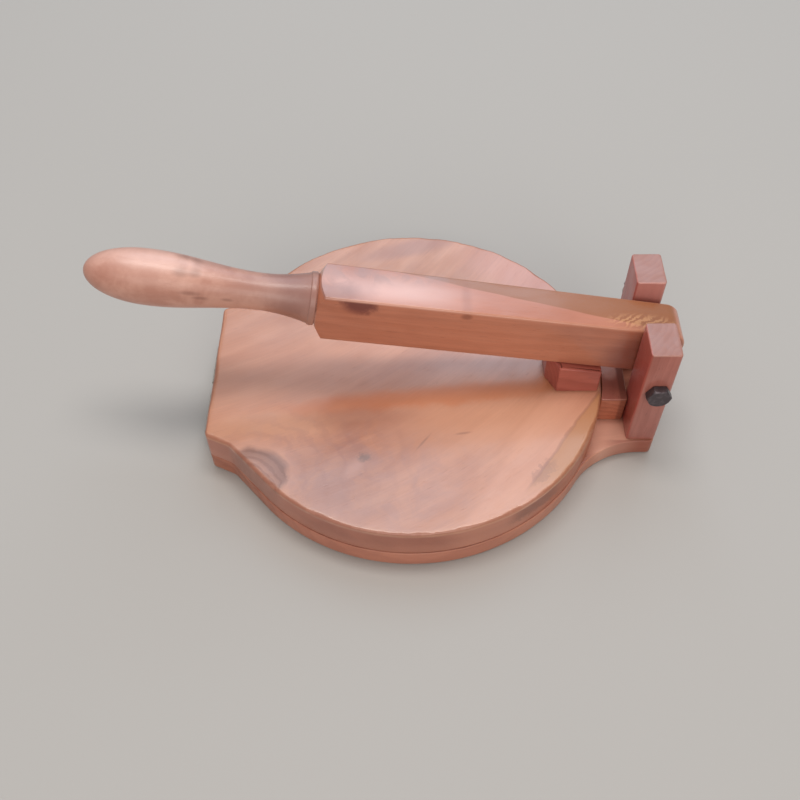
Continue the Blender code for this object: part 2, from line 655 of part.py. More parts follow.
def hexagon(bm, start, end, chamfer_start, chamfer_end, hole=0.0):
    """Hexagon bar along Y, its ends chamfered; with a hole it is a nut."""
    half = HEX_ACROSS_FLATS / 2
    corner = half / math.cos(math.pi / 6)
    face_radius = half - HEX_CHAMFER / 8
    rings = []
    count = HEX_SEGMENTS

    def hex_radius(angle, limit):
        turn = (angle + math.pi / 6) % (math.pi / 3) - math.pi / 6
        return min(half / math.cos(turn), limit)

    levels = [(start, face_radius), (start + chamfer_start, corner),
              (end - chamfer_end, corner), (end, face_radius)]
    if not chamfer_start:
        levels = levels[1:]
    if not chamfer_end:
        levels = levels[:-1]
    if not hole:
        for y, limit in levels:
            ring = []
            for index in range(count):
                angle = 2 * math.pi * index / count
                radius = hex_radius(angle, limit)
                ring.append((radius * math.cos(angle), y, -radius * math.sin(angle)))
            rings.append(ring)
        stack(bm, rings)
        return
    levels = [(start, hole)] + levels + [(end, hole)]
    for y, limit in levels:
        ring = []
        for index in range(count):
            angle = 2 * math.pi * index / count
            radius = hole if limit == hole else hex_radius(angle, limit)
            ring.append(bm.verts.new((radius * math.cos(angle), y, -radius * math.sin(angle))))
        rings.append(ring)
    for low, high in zip(rings, rings[1:] + rings[:1]):
        for index in range(count):
            following = (index + 1) % count
            bm.faces.new((low[index], low[following], high[following], high[index]))


pivot_place = (PIVOT_X, 0, PIVOT_Z)
head_face = -(UPRIGHT_OUTER_Y + SEAT_GAP)
bm = bmesh.new()
hexagon(bm, head_face - BOLT_HEAD_HEIGHT, head_face, HEX_CHAMFER, 0.0)
pivot_bolt = finish("pivot_bolt", bm, pivot_place, None, steel_black)
bm = bmesh.new()
turned(bm, [(head_face - JOIN_OVERLAP, BOLT_RADIUS), (BOLT_END_Y - BOLT_END_CHAMFER, BOLT_RADIUS),
            (BOLT_END_Y, BOLT_RADIUS - BOLT_END_CHAMFER)], along_y)
boolean(pivot_bolt, as_cutter(finish("pivot_bolt_shank_guide", bm, pivot_place)), "UNION")

washer_start = UPRIGHT_OUTER_Y + SEAT_GAP
bm = bmesh.new()
tube(bm, washer_start, washer_start + WASHER_THICKNESS, WASHER_RADIUS, BOLT_RADIUS + BOLT_CLEARANCE,
     along_y, BARREL_SEGMENTS)
finish("pivot_washer", bm, pivot_place, None, material("washer_steel", (0.30, 0.30, 0.31), 0.40, 1.0))
bm = bmesh.new()
hexagon(bm, NUT_START_Y, NUT_START_Y + NUT_HEIGHT, 0.0, HEX_CHAMFER, BOLT_RADIUS + SCREW_CLEARANCE)
finish("pivot_nut", bm, pivot_place, None, material("nut_steel", (0.08, 0.075, 0.075), 0.45, 0.8))

# Screws from below
for index, place in enumerate(upright_screw_places + stop_screw_places):
    if index < len(upright_screw_places):
        name = "upright_screw_%d" % (index + 1)
        sizes = UPRIGHT_SCREW
    else:
        name = "stop_screw_%d" % (index + 1 - len(upright_screw_places))
        sizes = STOP_SCREW
    bm = bmesh.new()
    turned(bm, screw_profile(*sizes), along_z, SCREW_SEGMENTS)
    screw = finish(name, bm, place, None, material(name + "_steel", (0.45, 0.44, 0.42), 0.40, 1.0))
    add_slot(screw, along_z, SCREW_HEAD_RADIUS)


def hinge_leaf(name, centre_y, rises, place, parent, surface):
    """One leaf with its knuckles: the plate's leaf rises and has the middle knuckle."""
    way = 1 if rises else -1
    clear = HINGE_BARREL_RADIUS + HINGE_CLEARANCE
    back = leaf_back_x - HINGE_AXIS_X
    face = leaf_face_x - HINGE_AXIS_X
    half = HINGE_LENGTH / 2
    middle_half = HINGE_MIDDLE_KNUCKLE / 2
    if rises:
        knuckles = ((-middle_half, middle_half),)
    else:
        knuckles = ((-half, -middle_half - HINGE_CLEARANCE), (middle_half + HINGE_CLEARANCE, half))

    def spot(x, y, z):
        return HINGE_AXIS_X + x - place[0], centre_y + y - place[1], HINGE_AXIS_Z + z - place[2]

    bm = bmesh.new()
    ends = sorted((way * clear, way * HINGE_LEAF_REACH))
    box(bm, spot(face, -half, ends[0]), spot(back, half, ends[1]))
    leaf = finish(name, bm, place, parent, surface)
    for number, (start, end) in enumerate(knuckles):
        bm = bmesh.new()
        inner_end = way * (clear + JOIN_OVERLAP)
        low, high = sorted((0.0, inner_end))
        box(bm, spot(face, start, low), spot(back, end, high))
        neck = as_cutter(finish("%s_neck_%d" % (name, number), bm, place, parent))
        boolean(leaf, neck, "UNION")

        def barrel(along, first, second):
            return spot(first, along, second)

        bm = bmesh.new()
        turned(bm, [(start, HINGE_BARREL_RADIUS), (end, HINGE_BARREL_RADIUS)], barrel, BARREL_SEGMENTS)
        boolean(leaf, as_cutter(finish("%s_barrel_%d" % (name, number), bm, place, parent)), "UNION")

    def bore(along, first, second):
        return spot(first, along, second)

    bm = bmesh.new()
    pin_hole = HINGE_PIN_RADIUS + HINGE_CLEARANCE
    turned(bm, [(-HINGE_LENGTH, pin_hole), (HINGE_LENGTH, pin_hole)], bore, SCREW_SEGMENTS)
    boolean(leaf, as_cutter(finish(name + "_bore", bm, place, parent)), "DIFFERENCE")
    spots = plate_leaf_screw_places if rises else base_leaf_screw_places
    bm = bmesh.new()
    own = [point for point in spots if point[1] * centre_y > 0]
    cut_screw_holes(bm, own, along_x, LEAF_SCREW, LEAF_SCREW_SEGMENTS, place)
    boolean(leaf, as_cutter(finish(name + "_holes", bm, place, parent)), "DIFFERENCE")


# Butt hinges
hinge_steel = material("hinge_steel", (0.40, 0.39, 0.37), 0.40, 1.0)
for side, suffix in ((-1, "near"), (1, "far")):
    hinge_leaf("base_leaf_" + suffix, side * HINGE_Y, False, (0, 0, 0), None, hinge_steel)
    hinge_leaf("plate_leaf_" + suffix, side * HINGE_Y, True, plate_place, plate_axis, hinge_steel)
    bm = bmesh.new()
    reach = HINGE_LENGTH / 2 + HINGE_PIN_OVERHANG
    pin_end_radius = HINGE_PIN_RADIUS - HINGE_PIN_CHAMFER
    turned(bm, [(-reach, pin_end_radius), (-reach + HINGE_PIN_CHAMFER, HINGE_PIN_RADIUS),
                (reach - HINGE_PIN_CHAMFER, HINGE_PIN_RADIUS), (reach, pin_end_radius)],
           along_y, SCREW_SEGMENTS)
    finish("hinge_pin_" + suffix, bm, (HINGE_AXIS_X, side * HINGE_Y, HINGE_AXIS_Z), None,
           material("pin_steel_" + suffix, (0.35, 0.34, 0.33), 0.40, 1.0))

# Screws in the leaves
for prefix, spots, parent in (("base_leaf_screw_", base_leaf_screw_places, None),
                              ("plate_leaf_screw_", plate_leaf_screw_places, plate_axis)):
    for index, place in enumerate(spots):
        bm = bmesh.new()
        turned(bm, screw_profile(*LEAF_SCREW), along_x, LEAF_SCREW_SEGMENTS)
        screw = finish(prefix + str(index + 1), bm, place, parent,
                       material(prefix + str(index + 1) + "_steel", (0.45, 0.44, 0.42), 0.40, 1.0))
        add_slot(screw, along_x, LEAF_SCREW_HEAD_RADIUS)
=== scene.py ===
from math import asin, atan2, cos, degrees, pi, radians, sin, sqrt, tan

import bmesh
import bpy
from mathutils import Matrix, Vector, noise


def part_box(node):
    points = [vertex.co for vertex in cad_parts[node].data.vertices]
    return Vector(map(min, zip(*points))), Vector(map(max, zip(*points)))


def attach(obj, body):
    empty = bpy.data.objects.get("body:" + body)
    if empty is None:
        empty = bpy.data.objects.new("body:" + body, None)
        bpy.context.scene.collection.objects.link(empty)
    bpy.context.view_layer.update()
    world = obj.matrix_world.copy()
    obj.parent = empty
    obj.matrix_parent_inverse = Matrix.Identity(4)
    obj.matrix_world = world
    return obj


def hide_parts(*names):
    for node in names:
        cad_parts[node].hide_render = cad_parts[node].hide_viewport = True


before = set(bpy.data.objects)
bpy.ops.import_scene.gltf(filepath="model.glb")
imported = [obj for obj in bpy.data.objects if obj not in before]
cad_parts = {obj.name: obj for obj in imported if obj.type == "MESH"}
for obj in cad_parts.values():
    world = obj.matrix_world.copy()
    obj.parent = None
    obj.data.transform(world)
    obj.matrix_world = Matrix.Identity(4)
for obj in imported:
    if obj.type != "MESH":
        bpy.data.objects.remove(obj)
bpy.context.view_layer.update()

base_low, base_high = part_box("base_board")
BASE_RADIUS = base_high.y
BASE_TOP_EASE = 0.0007
BASE_BOTTOM_EASE = 0.0010
TAB_FRONT_HALF_WIDTH = 0.0432
TAB_FLANK_LENGTH = 0.0128
TAB_FLARE = 0.0058
TAB_CORNER_RADIUS = 0.0032
TAB_WAIST_RADIUS = 0.0080
TAIL_HALF_WIDTH = 0.0353
TAIL_CORNER_RADIUS = 0.0032
NECK_RADIUS = 0.0420
TAB_FROM = 135
TAB_TO = 225
ROUND_STEPS = 110
NECK_STEPS = 24
tab_front_x = base_low.x


def arc(centre_x, centre_y, radius, start, end, steps):
    """Points on an arc between two angles in degrees."""
    points = []
    for index in range(steps + 1):
        angle = radians(start + (end - start) * index / steps)
        points.append((centre_x + radius * cos(angle), centre_y + radius * sin(angle)))
    return points


def corner_arc(before, here, after, radius, inset, steps=8):
    """Round one corner of a counter-clockwise outline that is moved inwards by inset."""
    into = (Vector(here) - Vector(before)).normalized()
    out = (Vector(after) - Vector(here)).normalized()
    turn = atan2(into.x * out.y - into.y * out.x, into.dot(out))
    side = 1.0 if turn > 0 else -1.0
    start = Vector(here) - into * radius * tan(abs(turn) / 2)
    inward = Vector((-into.y, into.x))
    centre = start + inward * side * radius
    first = degrees(atan2(-inward.y * side, -inward.x * side))
    return arc(centre.x, centre.y, radius - side * inset, first, first + degrees(turn), steps)


def straight(first, last, steps):
    """Points strictly between two points, so that a long edge can be worn unevenly."""
    points = []
    for index in range(1, steps):
        share = index / steps
        points.append((first[0] + (last[0] - first[0]) * share, first[1] + (last[1] - first[1]) * share))
    return points


def rounded_line(corners, radii, inset, lengths, steps=8):
    """A line around corners, the first and last left out; lengths cuts up the sides between them."""
    pieces = []
    for index, radius in enumerate(radii):
        pieces.append(corner_arc(*corners[index:index + 3], radius, inset, steps))
    points = pieces[0]
    for piece, cuts in zip(pieces[1:], lengths):
        points += straight(points[-1], piece[0], cuts) + piece
    return points


def tab_outline(radius, inset):
    """The squared tab, between the circle's points at TAB_FROM and TAB_TO degrees."""
    touch = radius / sqrt(2)
    waist_x = tab_front_x + TAB_FLANK_LENGTH
    waist_y = TAB_FRONT_HALF_WIDTH + TAB_FLARE
    corners = [(-touch, touch), (waist_x, waist_y), (tab_front_x, TAB_FRONT_HALF_WIDTH),
               (tab_front_x, -TAB_FRONT_HALF_WIDTH), (waist_x, -waist_y), (-touch, -touch)]
    radii = (TAB_WAIST_RADIUS, TAB_CORNER_RADIUS, TAB_CORNER_RADIUS, TAB_WAIST_RADIUS)
    return rounded_line(corners, radii, inset, (12, 12, 12))


def base_outline(inset):
    """Plan of the base board with its tail, counter-clockwise."""
    neck_y = TAIL_HALF_WIDTH + NECK_RADIUS
    neck_x = sqrt((BASE_RADIUS + NECK_RADIUS) ** 2 - neck_y ** 2)
    touch = degrees(atan2(neck_y, neck_x))
    near_corner = (base_high.x, -TAIL_HALF_WIDTH)
    far_corner = (base_high.x, TAIL_HALF_WIDTH)
    points = arc(0, 0, BASE_RADIUS - inset, TAB_TO, 360 - touch, ROUND_STEPS)
    points += arc(neck_x, -neck_y, NECK_RADIUS + inset, 180 - touch, 90, NECK_STEPS)[1:]
    points += corner_arc((neck_x, -TAIL_HALF_WIDTH), near_corner, far_corner, TAIL_CORNER_RADIUS, inset)
    points += corner_arc(near_corner, far_corner, (neck_x, TAIL_HALF_WIDTH), TAIL_CORNER_RADIUS, inset)
    points += arc(neck_x, neck_y, NECK_RADIUS + inset, -90, touch - 180, NECK_STEPS)
    points += arc(0, 0, BASE_RADIUS - inset, touch, TAB_FROM, ROUND_STEPS)[1:]
    return points + tab_outline(BASE_RADIUS, inset)


def bridge(bm, loops):
    """Join each loop of vertices to the next one with faces."""
    count = len(loops[0])
    for low, high in zip(loops, loops[1:]):
        for index in range(count):
            following = (index + 1) % count
            bm.faces.new((low[index], low[following], high[following], high[index]))


def skin(bm, rings):
    """Close a solid over rings of equal length, from the first to the last. Returns its loops."""
    loops = [[bm.verts.new(point) for point in ring] for ring in rings]
    bridge(bm, loops)
    bm.faces.new(list(reversed(loops[0])))
    bm.faces.new(loops[-1])
    return loops


SHARP_ANGLE = radians(40)


def made_object(name, bm):
    """Turn bm into an object, with crisp corners and smooth rounds."""
    bmesh.ops.recalc_face_normals(bm, faces=bm.faces)
    mesh = bpy.data.meshes.new(name)
    bm.to_mesh(mesh)
    bm.free()
    mesh.shade_smooth()
    mesh.set_sharp_from_angle(angle=SHARP_ANGLE)
    made = bpy.data.objects.new(name, mesh)
    bpy.context.scene.collection.objects.link(made)
    return made


EDGE_STEPS = 5
QUARTER = [pi / 2 * index / EDGE_STEPS for index in range(EDGE_STEPS + 1)]
LONG_RUB = 90
SHORT_RUB = 340


def sanded_slab(name, outline, low, high, low_ease, high_ease, uneven, flat_from=0.0030):
    """A slab with the plan outline(inset). uneven is how much the easing of its edges varies."""
    unit = 0.0010
    rim = outline(0)
    inner = outline(unit)
    loops = []
    wear = []

    def ring(reach, level, worn, lowering=0.0):
        points = []
        for (x, y), (in_x, in_y) in zip(rim, inner):
            here = Vector((x, y, level))
            rubbed = noise.noise(here * LONG_RUB) + 0.5 * noise.noise(here * SHORT_RUB)
            extra = 1 + uneven * rubbed if reach < flat_from else 1
            share = reach * extra / unit
            points.append((x + (in_x - x) * share, y + (in_y - y) * share, level - lowering * extra))
        loops.append(points)
        wear.append(worn)

    ring(flat_from, low, 0.0)
    for angle in QUARTER:
        ring(low_ease * (1 - sin(angle)), low + low_ease * (1 - cos(angle)), sin(2 * angle))
    for angle in QUARTER:
        ring(high_ease * (1 - cos(angle)), high, sin(2 * angle), high_ease * (1 - sin(angle)))
    ring(flat_from, high, 0.0)
    bm = bmesh.new()
    layer = bm.verts.layers.float.new("wear")
    for vertices, worn in zip(skin(bm, loops), wear):
        for vertex in vertices:
            vertex[layer] = worn
    return made_object(name, bm)


def cut_away(made, *cutters):
    """Take the shapes of the cutters out of a piece, and keep the result as its mesh."""
    for cutter in cutters:
        step = made.modifiers.new("cut", "BOOLEAN")
        step.operation = "DIFFERENCE"
        step.solver = "EXACT"
        step.object = cutter
    keep_shape(made, *cutters)


def keep_shape(made, *helpers):
    """Make what the modifiers show the piece's own mesh, and drop the shapes that helped."""
    bpy.context.view_layer.update()
    shown = made.evaluated_get(bpy.context.evaluated_depsgraph_get())
    shaped = bpy.data.meshes.new_from_object(shown)
    made.modifiers.clear()
    made.data = shaped
    shaped.set_sharp_from_angle(angle=SHARP_ANGLE)
    for helper in helpers:
        bpy.data.objects.remove(helper)


def circle(frame_of, along, radius, segments):
    """Points around an axis; frame_of places a distance along it and two across."""
    points = []
    for index in range(segments):
        angle = 2 * pi * index / segments
        points.append(frame_of(along, radius * cos(angle), radius * sin(angle)))
    return points


def turned(bm, profile, frame_of, segments):
    """A solid of revolution. profile holds (distance along, radius)."""
    skin(bm, [circle(frame_of, along, radius, segments) for along, radius in profile])


HOLE_CLEARANCE = 0.0002
HOLE_OVER = 0.0020
SCREW_HEAD_RIM = 0.0002


def screw_holes(name, nodes, direction):
    """Countersunk holes for the screws that the nodes are, all pointing along direction."""
    bm = bmesh.new()
    axis = Vector(direction)
    first = axis.orthogonal().normalized()
    second = axis.cross(first)
    for node in nodes:
        low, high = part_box(node)
        size = high - low
        length = max(size)
        head_radius = sorted(size)[1] / 2
        head = (low + high) / 2 - axis * length / 2
        wide = head_radius + HOLE_CLEARANCE
        narrow = head_radius / 2 + HOLE_CLEARANCE

        def screw_way(along, a, b, head=head):
            return head + axis * along + first * a + second * b

        turned(bm, [(-HOLE_OVER, wide), (SCREW_HEAD_RIM, wide), (head_radius * 0.75, narrow),
                    (length + HOLE_CLEARANCE, narrow)], screw_way, 32)
    return made_object(name, bm)


upright_screws = ["upright_screw_%d" % number for number in (1, 2, 3, 4)]
stop_screws = ["stop_screw_%d" % number for number in (1, 2)]
base_leaf_screws = ["base_leaf_screw_%d" % number for number in (1, 2, 3, 4)]

base = sanded_slab("base_board_wood", base_outline, base_low.z, base_high.z,
                   BASE_BOTTOM_EASE, BASE_TOP_EASE, 0.5)
cut_away(base, screw_holes("floor_side_holes", upright_screws + stop_screws, (0, 0, 1)),
         screw_holes("front_holes", base_leaf_screws, (1, 0, 0)))


def paint(colour):
    """Turn a colour as seen, 0 to 255, into the linear values that a shader takes."""
    return tuple((value / 255) ** 2.2 for value in colour) + (1.0,)


class Level:
    """A socket of a finish. Sums and products of levels become Math nodes."""

    def __init__(self, finish, socket):
        self.finish = finish
        self.socket = socket

    def math(self, operation, first, second):
        return self.finish.node("ShaderNodeMath", {"operation": operation}, {0: first, 1: second})

    def __add__(self, other):
        return self.math("ADD", self, other)

    def __radd__(self, other):
        return self.math("ADD", other, self)

    def __sub__(self, other):
        return self.math("SUBTRACT", self, other)

    def __rsub__(self, other):
        return self.math("SUBTRACT", other, self)

    def __mul__(self, other):
        return self.math("MULTIPLY", self, other)

    def __rmul__(self, other):
        return self.math("MULTIPLY", other, self)

    def __truediv__(self, other):
        return self.math("DIVIDE", self, other)

    def __pow__(self, other):
        return self.math("POWER", self, other)

    def wave(self):
        """Its sine, from -1 to 1."""
        return self.finish.node("ShaderNodeMath", {"operation": "SINE"}, {0: self})


class Finish:
    """A material, to which nodes are added as its look needs them. Places are in millimetres."""

    def __init__(self, name, ground):
        self.tone = ground
        self.material = bpy.data.materials.new(name)
        self.material.use_nodes = True
        self.tree = self.material.node_tree
        self.shader = self.tree.nodes["Principled BSDF"]
        held = self.node("ShaderNodeTexCoord", {}, {}, "Object")
        self.place = self.node("ShaderNodeVectorMath", {"operation": "SCALE"}, {0: held, "Scale": 1000})

    def node(self, kind, settings, sockets, result=0):
        """Add a node: its settings first, then the values or links of its sockets."""
        made = self.tree.nodes.new(kind)
        for name, value in settings.items():
            setattr(made, name, value)
        for name, value in sockets.items():
            self.feed(made.inputs[name], value)
        return Level(self, made.outputs[result])

    def feed(self, socket, value):
        """Give a socket a value, or link a level to it."""
        if isinstance(value, Level):
            self.tree.links.new(value.socket, socket)
        else:
            socket.default_value = value

    def reach(self, direction, origin=(0, 0, 0)):
        """Distance of a point from origin, along direction."""
        moved = self.node("ShaderNodeVectorMath", {"operation": "SUBTRACT"}, {0: self.place, 1: origin})
        way = Vector(direction).normalized()
        return self.node("ShaderNodeVectorMath", {"operation": "DOT_PRODUCT"}, {0: moved, 1: way}, "Value")

    def join(self, x, y, z):
        """One vector from three levels."""
        return self.node("ShaderNodeCombineXYZ", {}, {0: x, 1: y, 2: z})

    def cloud(self, scale, detail, rough, places=None, distortion=0.0):
        """Noise from 0 to 1; scale is in lumps for each millimetre."""
        sockets = {"Vector": places or self.place, "Scale": scale, "Detail": detail, "Roughness": rough,
                   "Distortion": distortion}
        return self.node("ShaderNodeTexNoise", {}, sockets)

    def rise(self, value, start, end, low=0.0, high=1.0):
        """A smooth change from low to high while value goes from start to end."""
        return self.node("ShaderNodeMapRange", {"interpolation_type": "SMOOTHSTEP"},
                         {0: value, 1: start, 2: end, 3: low, 4: high})

    def mix(self, factor, *colours):
        """Blend two colours, each a level or a colour as seen."""
        first, second = [colour if isinstance(colour, Level) else paint(colour) for colour in colours]
        return self.node("ShaderNodeMix", {"data_type": "RGBA"}, {0: factor, 6: first, 7: second}, 2)

    def tint(self, share, colour):
        """Lay a colour over the tone that the surface has so far."""
        self.tone = self.mix(share, self.tone, colour)

    def wear(self):
        """How much an edge is rubbed, 0 to 1, as its mesh says."""
        return self.node("ShaderNodeAttribute", {"attribute_name": "wear"}, {}, "Fac")

    def spot(self, x, y, centre, size, turn, soft=0.8):
        """1 in an oval around centre, 0 outside; turn is in degrees."""
        cosine = cos(radians(turn))
        sine = sin(radians(turn))
        shift_x = x - centre[0]
        shift_y = y - centre[1]
        first = (shift_x * cosine + shift_y * sine) * (1 / size[0])
        second = (shift_y * cosine - shift_x * sine) * (1 / size[1])
        distance = (first * first + second * second) ** 0.5
        return self.rise(distance, 1 + soft, 1 - soft)

    def lay(self, roughness, relief, strength=0.5):
        """Finish the surface with its tone, its gloss and its relief."""
        self.feed(self.shader.inputs["Base Color"], self.tone)
        self.feed(self.shader.inputs["Roughness"], roughness)
        sockets = {"Height": relief, "Strength": strength, "Distance": 0.001}
        self.feed(self.shader.inputs["Normal"], self.node("ShaderNodeBump", {}, sockets, "Normal"))
        return self.material


class Wood(Finish):
    """Varnished wood. Its yearly rings lie around a pith line along the grain, which may bend."""

    def __init__(self, name, pale, along, pith, ring_width, wander, seed, bend=0.0):
        super().__init__(name, pale)
        way = Vector(along).normalized()
        side = Vector((0, 0, 1)).cross(way) if abs(way.z) < 0.9 else Vector((0, 1, 0)).cross(way)
        side = side.normalized()
        self.u = self.reach(way, pith)
        straight_v = self.reach(side, pith)
        self.v = straight_v - self.u * self.u * bend if bend else straight_v
        self.w = self.reach(way.cross(side), pith)
        self.seed = seed
        self.wander = self.cloud(0.035, 3.0, 0.55, self.drawn(0.16)) - 0.5
        radius = (self.v * self.v + self.w * self.w) ** 0.5
        self.growth = radius + self.wander * (26 * wander)
        self.ring_width = ring_width

    def drawn(self, share, shift=0.0):
        """Places drawn out along the grain; share is what is left of a length along it."""
        return self.join(self.u * share, self.v + (self.seed + shift), self.w)

    def rings(self):
        """0 in the pale early wood to 1 in the dark late wood of each year."""
        year = self.node("ShaderNodeMath", {"operation": "FRACT"}, {0: self.growth / self.ring_width})
        return self.rise(year, 0.05, 0.80) * self.rise(year, 1.0, 0.82)

    def fibres(self):
        """Fine streaks along the grain, around 0.5."""
        return self.cloud(1.1, 5.0, 0.7, self.drawn(0.03))

    def pores(self):
        """1 in the short dark pores of the wood, else 0."""
        return self.rise(self.cloud(1.9, 1.0, 0.4, self.drawn(0.10)), 0.68, 0.78)

    def patches(self, size=22, shift=0.0):
        """Slow change of tone over the wood, 0 to 1; size is a patch's width in millimetres."""
        return self.rise(self.cloud(1 / size, 3.0, 0.55, self.drawn(0.40, shift), 0.5), 0.30, 0.70)

    def blotches(self, size, shift, curl=0.6):
        """Stains that follow no grain, 0 to 1; size is a stain's width in millimetres."""
        moved = self.node("ShaderNodeVectorMath", {"operation": "ADD"}, {0: self.place, 1: (shift, 0, 0)})
        return self.rise(self.cloud(1 / size, 4.0, 0.6, moved, curl), 0.38, 0.62)

    def timber(self, dark, deep, ring_share=0.30, pore_share=0.35):
        """Darken the pale wood over rings and patches, streak it, and lay the deep tone in its pores."""
        self.tint(self.patches() * 0.60 + self.rings() * ring_share, dark)
        streaks = {0: self.tone, "Scale": 0.84 + self.fibres() * 0.32}
        self.tone = self.node("ShaderNodeVectorMath", {"operation": "SCALE"}, streaks)
        self.tint(self.pores() * pore_share, deep)

    def varnish(self, thin, thick, roughness, worn=0.0, under=0.3):
        """The clear coat over the wood, brushed on unevenly, and gone where worn is 1."""
        coat = self.rise(self.cloud(0.11, 3.0, 0.6, self.drawn(0.35)), 0.35, 0.62, thin, thick)
        self.feed(self.shader.inputs["Coat Weight"], coat * (1 - worn))
        self.shader.inputs["Coat Roughness"].default_value = roughness
        self.shader.inputs["Specular IOR Level"].default_value = under

    def relief(self, ripple):
        """Height of the surface: fibres and pores that show through the coat, and slow ripples."""
        slow = self.cloud(0.06, 2.0, 0.5, self.join(self.u * 0.4, self.v, self.w))
        return self.fibres() * 0.10 - self.pores() * 0.08 + slow * ripple

    def cover(self, made, gloss, ripple=0.5):
        """Give a piece this wood as its surface."""
        made.data.materials.append(self.lay(gloss, self.relief(ripple)))


base_wood = Wood("base board varnished wood", (176, 114, 92), (1, 0.10, 0), (0, 40, -55), 7.0, 1.0, 31)
base_wood.timber((140, 82, 66), (84, 40, 30))
base_x = base_wood.reach((1, 0, 0))
base_y = base_wood.reach((0, 1, 0))
# A pale patch on the tail's top in front of the near upright is painted light.
neck_painted_light = base_wood.spot(base_x, base_y, (104, -34), (12, 17), 10, 0.5)
base_wood.tint(neck_painted_light * 0.5, (236, 182, 160))
scuffed = base_wood.rise(base_wood.cloud(0.10, 4.0, 0.65), 0.40, 0.62)
base_wear = base_wood.wear() * scuffed
base_wood.tint(base_wear * 0.35, (192, 138, 114))
base_grip = base_wood.cloud(0.09, 3.0, 0.6)
tail_side = base_wood.rise(base_y, -34.0, -35.0) * base_wood.rise(base_x, 98, 112)
base_wood.tint(tail_side * 0.5, (136, 72, 62))
base_rim = base_wood.rise(base_wood.reach((0, 0, 1)), 10.85, 10.5)
rear_rim = base_rim * base_wood.rise(base_x, 30, 62) * base_wood.rise(base_x, 104, 84)
base_wood.tint(rear_rim * 0.5, (206, 142, 120))
near_rim = base_rim * base_wood.rise(base_x, -84, -60) * base_wood.rise(base_x, 60, 30)
base_wood.tint(near_rim * 0.34, (212, 142, 120))
base_wood.varnish(0.4, 0.8, 0.22, base_rim * 0.8)
base_wood.cover(base, 0.34 + base_grip * 0.14)
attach(base, "base")
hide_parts("base_board")

# Butt hinges
# Two small steel butt hinges on the squared front faces of the boards: a fixed and a moving leaf
# each, stamped and rolled from sheet, with a drawn pin and two countersunk screws in each leaf.


def steel(name, bright, dull, roughness, along=(0, 1, 0)):
    """Bare steel with fine brush marks, handling stains and a few rusty specks."""
    finish = Finish(name, bright)
    brushed = finish.reach(along)
    crossed = finish.join(finish.reach((1, 0.3, 0.2)) * 9, brushed * 0.5, finish.reach((0, 0, 1)) * 9)
    marks = finish.cloud(1.0, 3.0, 0.6, crossed)
    stain = finish.rise(finish.cloud(0.30, 4.0, 0.65), 0.45, 0.72)
    rust = finish.rise(finish.cloud(1.30, 3.0, 0.7), 0.66, 0.74)
    finish.tint(stain * 0.7, dull)
    finish.tint(rust * 0.45, (122, 78, 52))
    finish.feed(finish.shader.inputs["Metallic"], 1 - rust * 0.6)
    return finish.lay(roughness + stain * 0.14 + marks * 0.08, marks * 0.25, 0.4)


def dress(node, material):
    """Give a node of the part its finish."""
    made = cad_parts[node]
    made.data.materials.clear()
    made.data.materials.append(material)


plate_leaf_screws = ["plate_leaf_screw_%d" % number for number in (1, 2, 3, 4)]
leaf_steel = steel("hinge leaf steel", (196, 192, 184), (138, 132, 124), 0.28)
pin_steel = steel("hinge pin steel", (180, 177, 170), (120, 115, 108), 0.30)
leaf_screw_steel = steel("small screw steel", (205, 202, 194), (150, 144, 134), 0.26, (0, 0, 1))
for side_name in ("near", "far"):
    dress("base_leaf_" + side_name, leaf_steel)
    dress("plate_leaf_" + side_name, leaf_steel)
    dress("hinge_pin_" + side_name, pin_steel)
for node in base_leaf_screws + plate_leaf_screws:
    dress(node, leaf_screw_steel)

# Top plate
# The board that presses the dough: the same plan without the tail, thicker, hinged at its tab. Its
# grain runs slantwise, with a knot, a swirl and a strip of sapwood, under a glossy varnish.
plate_low, plate_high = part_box("top_plate")
PLATE_RADIUS = plate_high.y
PLATE_TOP_EASE = 0.0017
PLATE_BOTTOM_EASE = 0.0005
GRAIN_ANGLE = radians(36)
GRAIN_BEND = 0.0019
KNOT = (-23.5, -57.2)
SWIRL = (-79, -66.5)
SWIRL_EYE = (-84, -76)


def plate_outline(inset):
    """Plan of the top plate, counter-clockwise."""
    return arc(0, 0, PLATE_RADIUS - inset, TAB_TO, TAB_FROM + 360, 270) + tab_outline(PLATE_RADIUS, inset)


plate = sanded_slab("top_plate_wood", plate_outline, plate_low.z, plate_high.z,
                    PLATE_BOTTOM_EASE, PLATE_TOP_EASE, 0.6)
cut_away(plate, screw_holes("plate_front_holes", plate_leaf_screws, (1, 0, 0)))
grain_way = (cos(GRAIN_ANGLE), sin(GRAIN_ANGLE), 0)
plate_wood = Wood("top plate varnished wood", (196, 136, 107), grain_way, (0, -30, -75), 11.0, 1.2, 4,
                  GRAIN_BEND)
plate_x = plate_wood.reach((1, 0, 0))
plate_y = plate_wood.reach((0, 1, 0))
plate_z = plate_wood.reach((0, 0, 1))


def in_plan(centre, size, turn, soft=0.8):
    """An oval in the plate's plan."""
    return plate_wood.spot(plate_x, plate_y, centre, size, turn, soft)


# The yearly rings bend around the knot and the swirl.
knot_edge = (plate_wood.cloud(0.40, 3.0, 0.6) - 0.5) * 5
knot = plate_wood.spot(plate_x + knot_edge, plate_y - knot_edge, KNOT, (3.0, 2.2), 35, 0.55)
knot_pull = in_plan(KNOT, (14, 8), 40, 0.95)
swirl_pull = in_plan((-76, -66), (24, 20), 10, 0.95)
plate_wood.growth = plate_wood.growth + knot_pull * 14 + swirl_pull * 16
plate_wood.timber((172, 110, 80), (118, 64, 44), 0.28, 0.20)
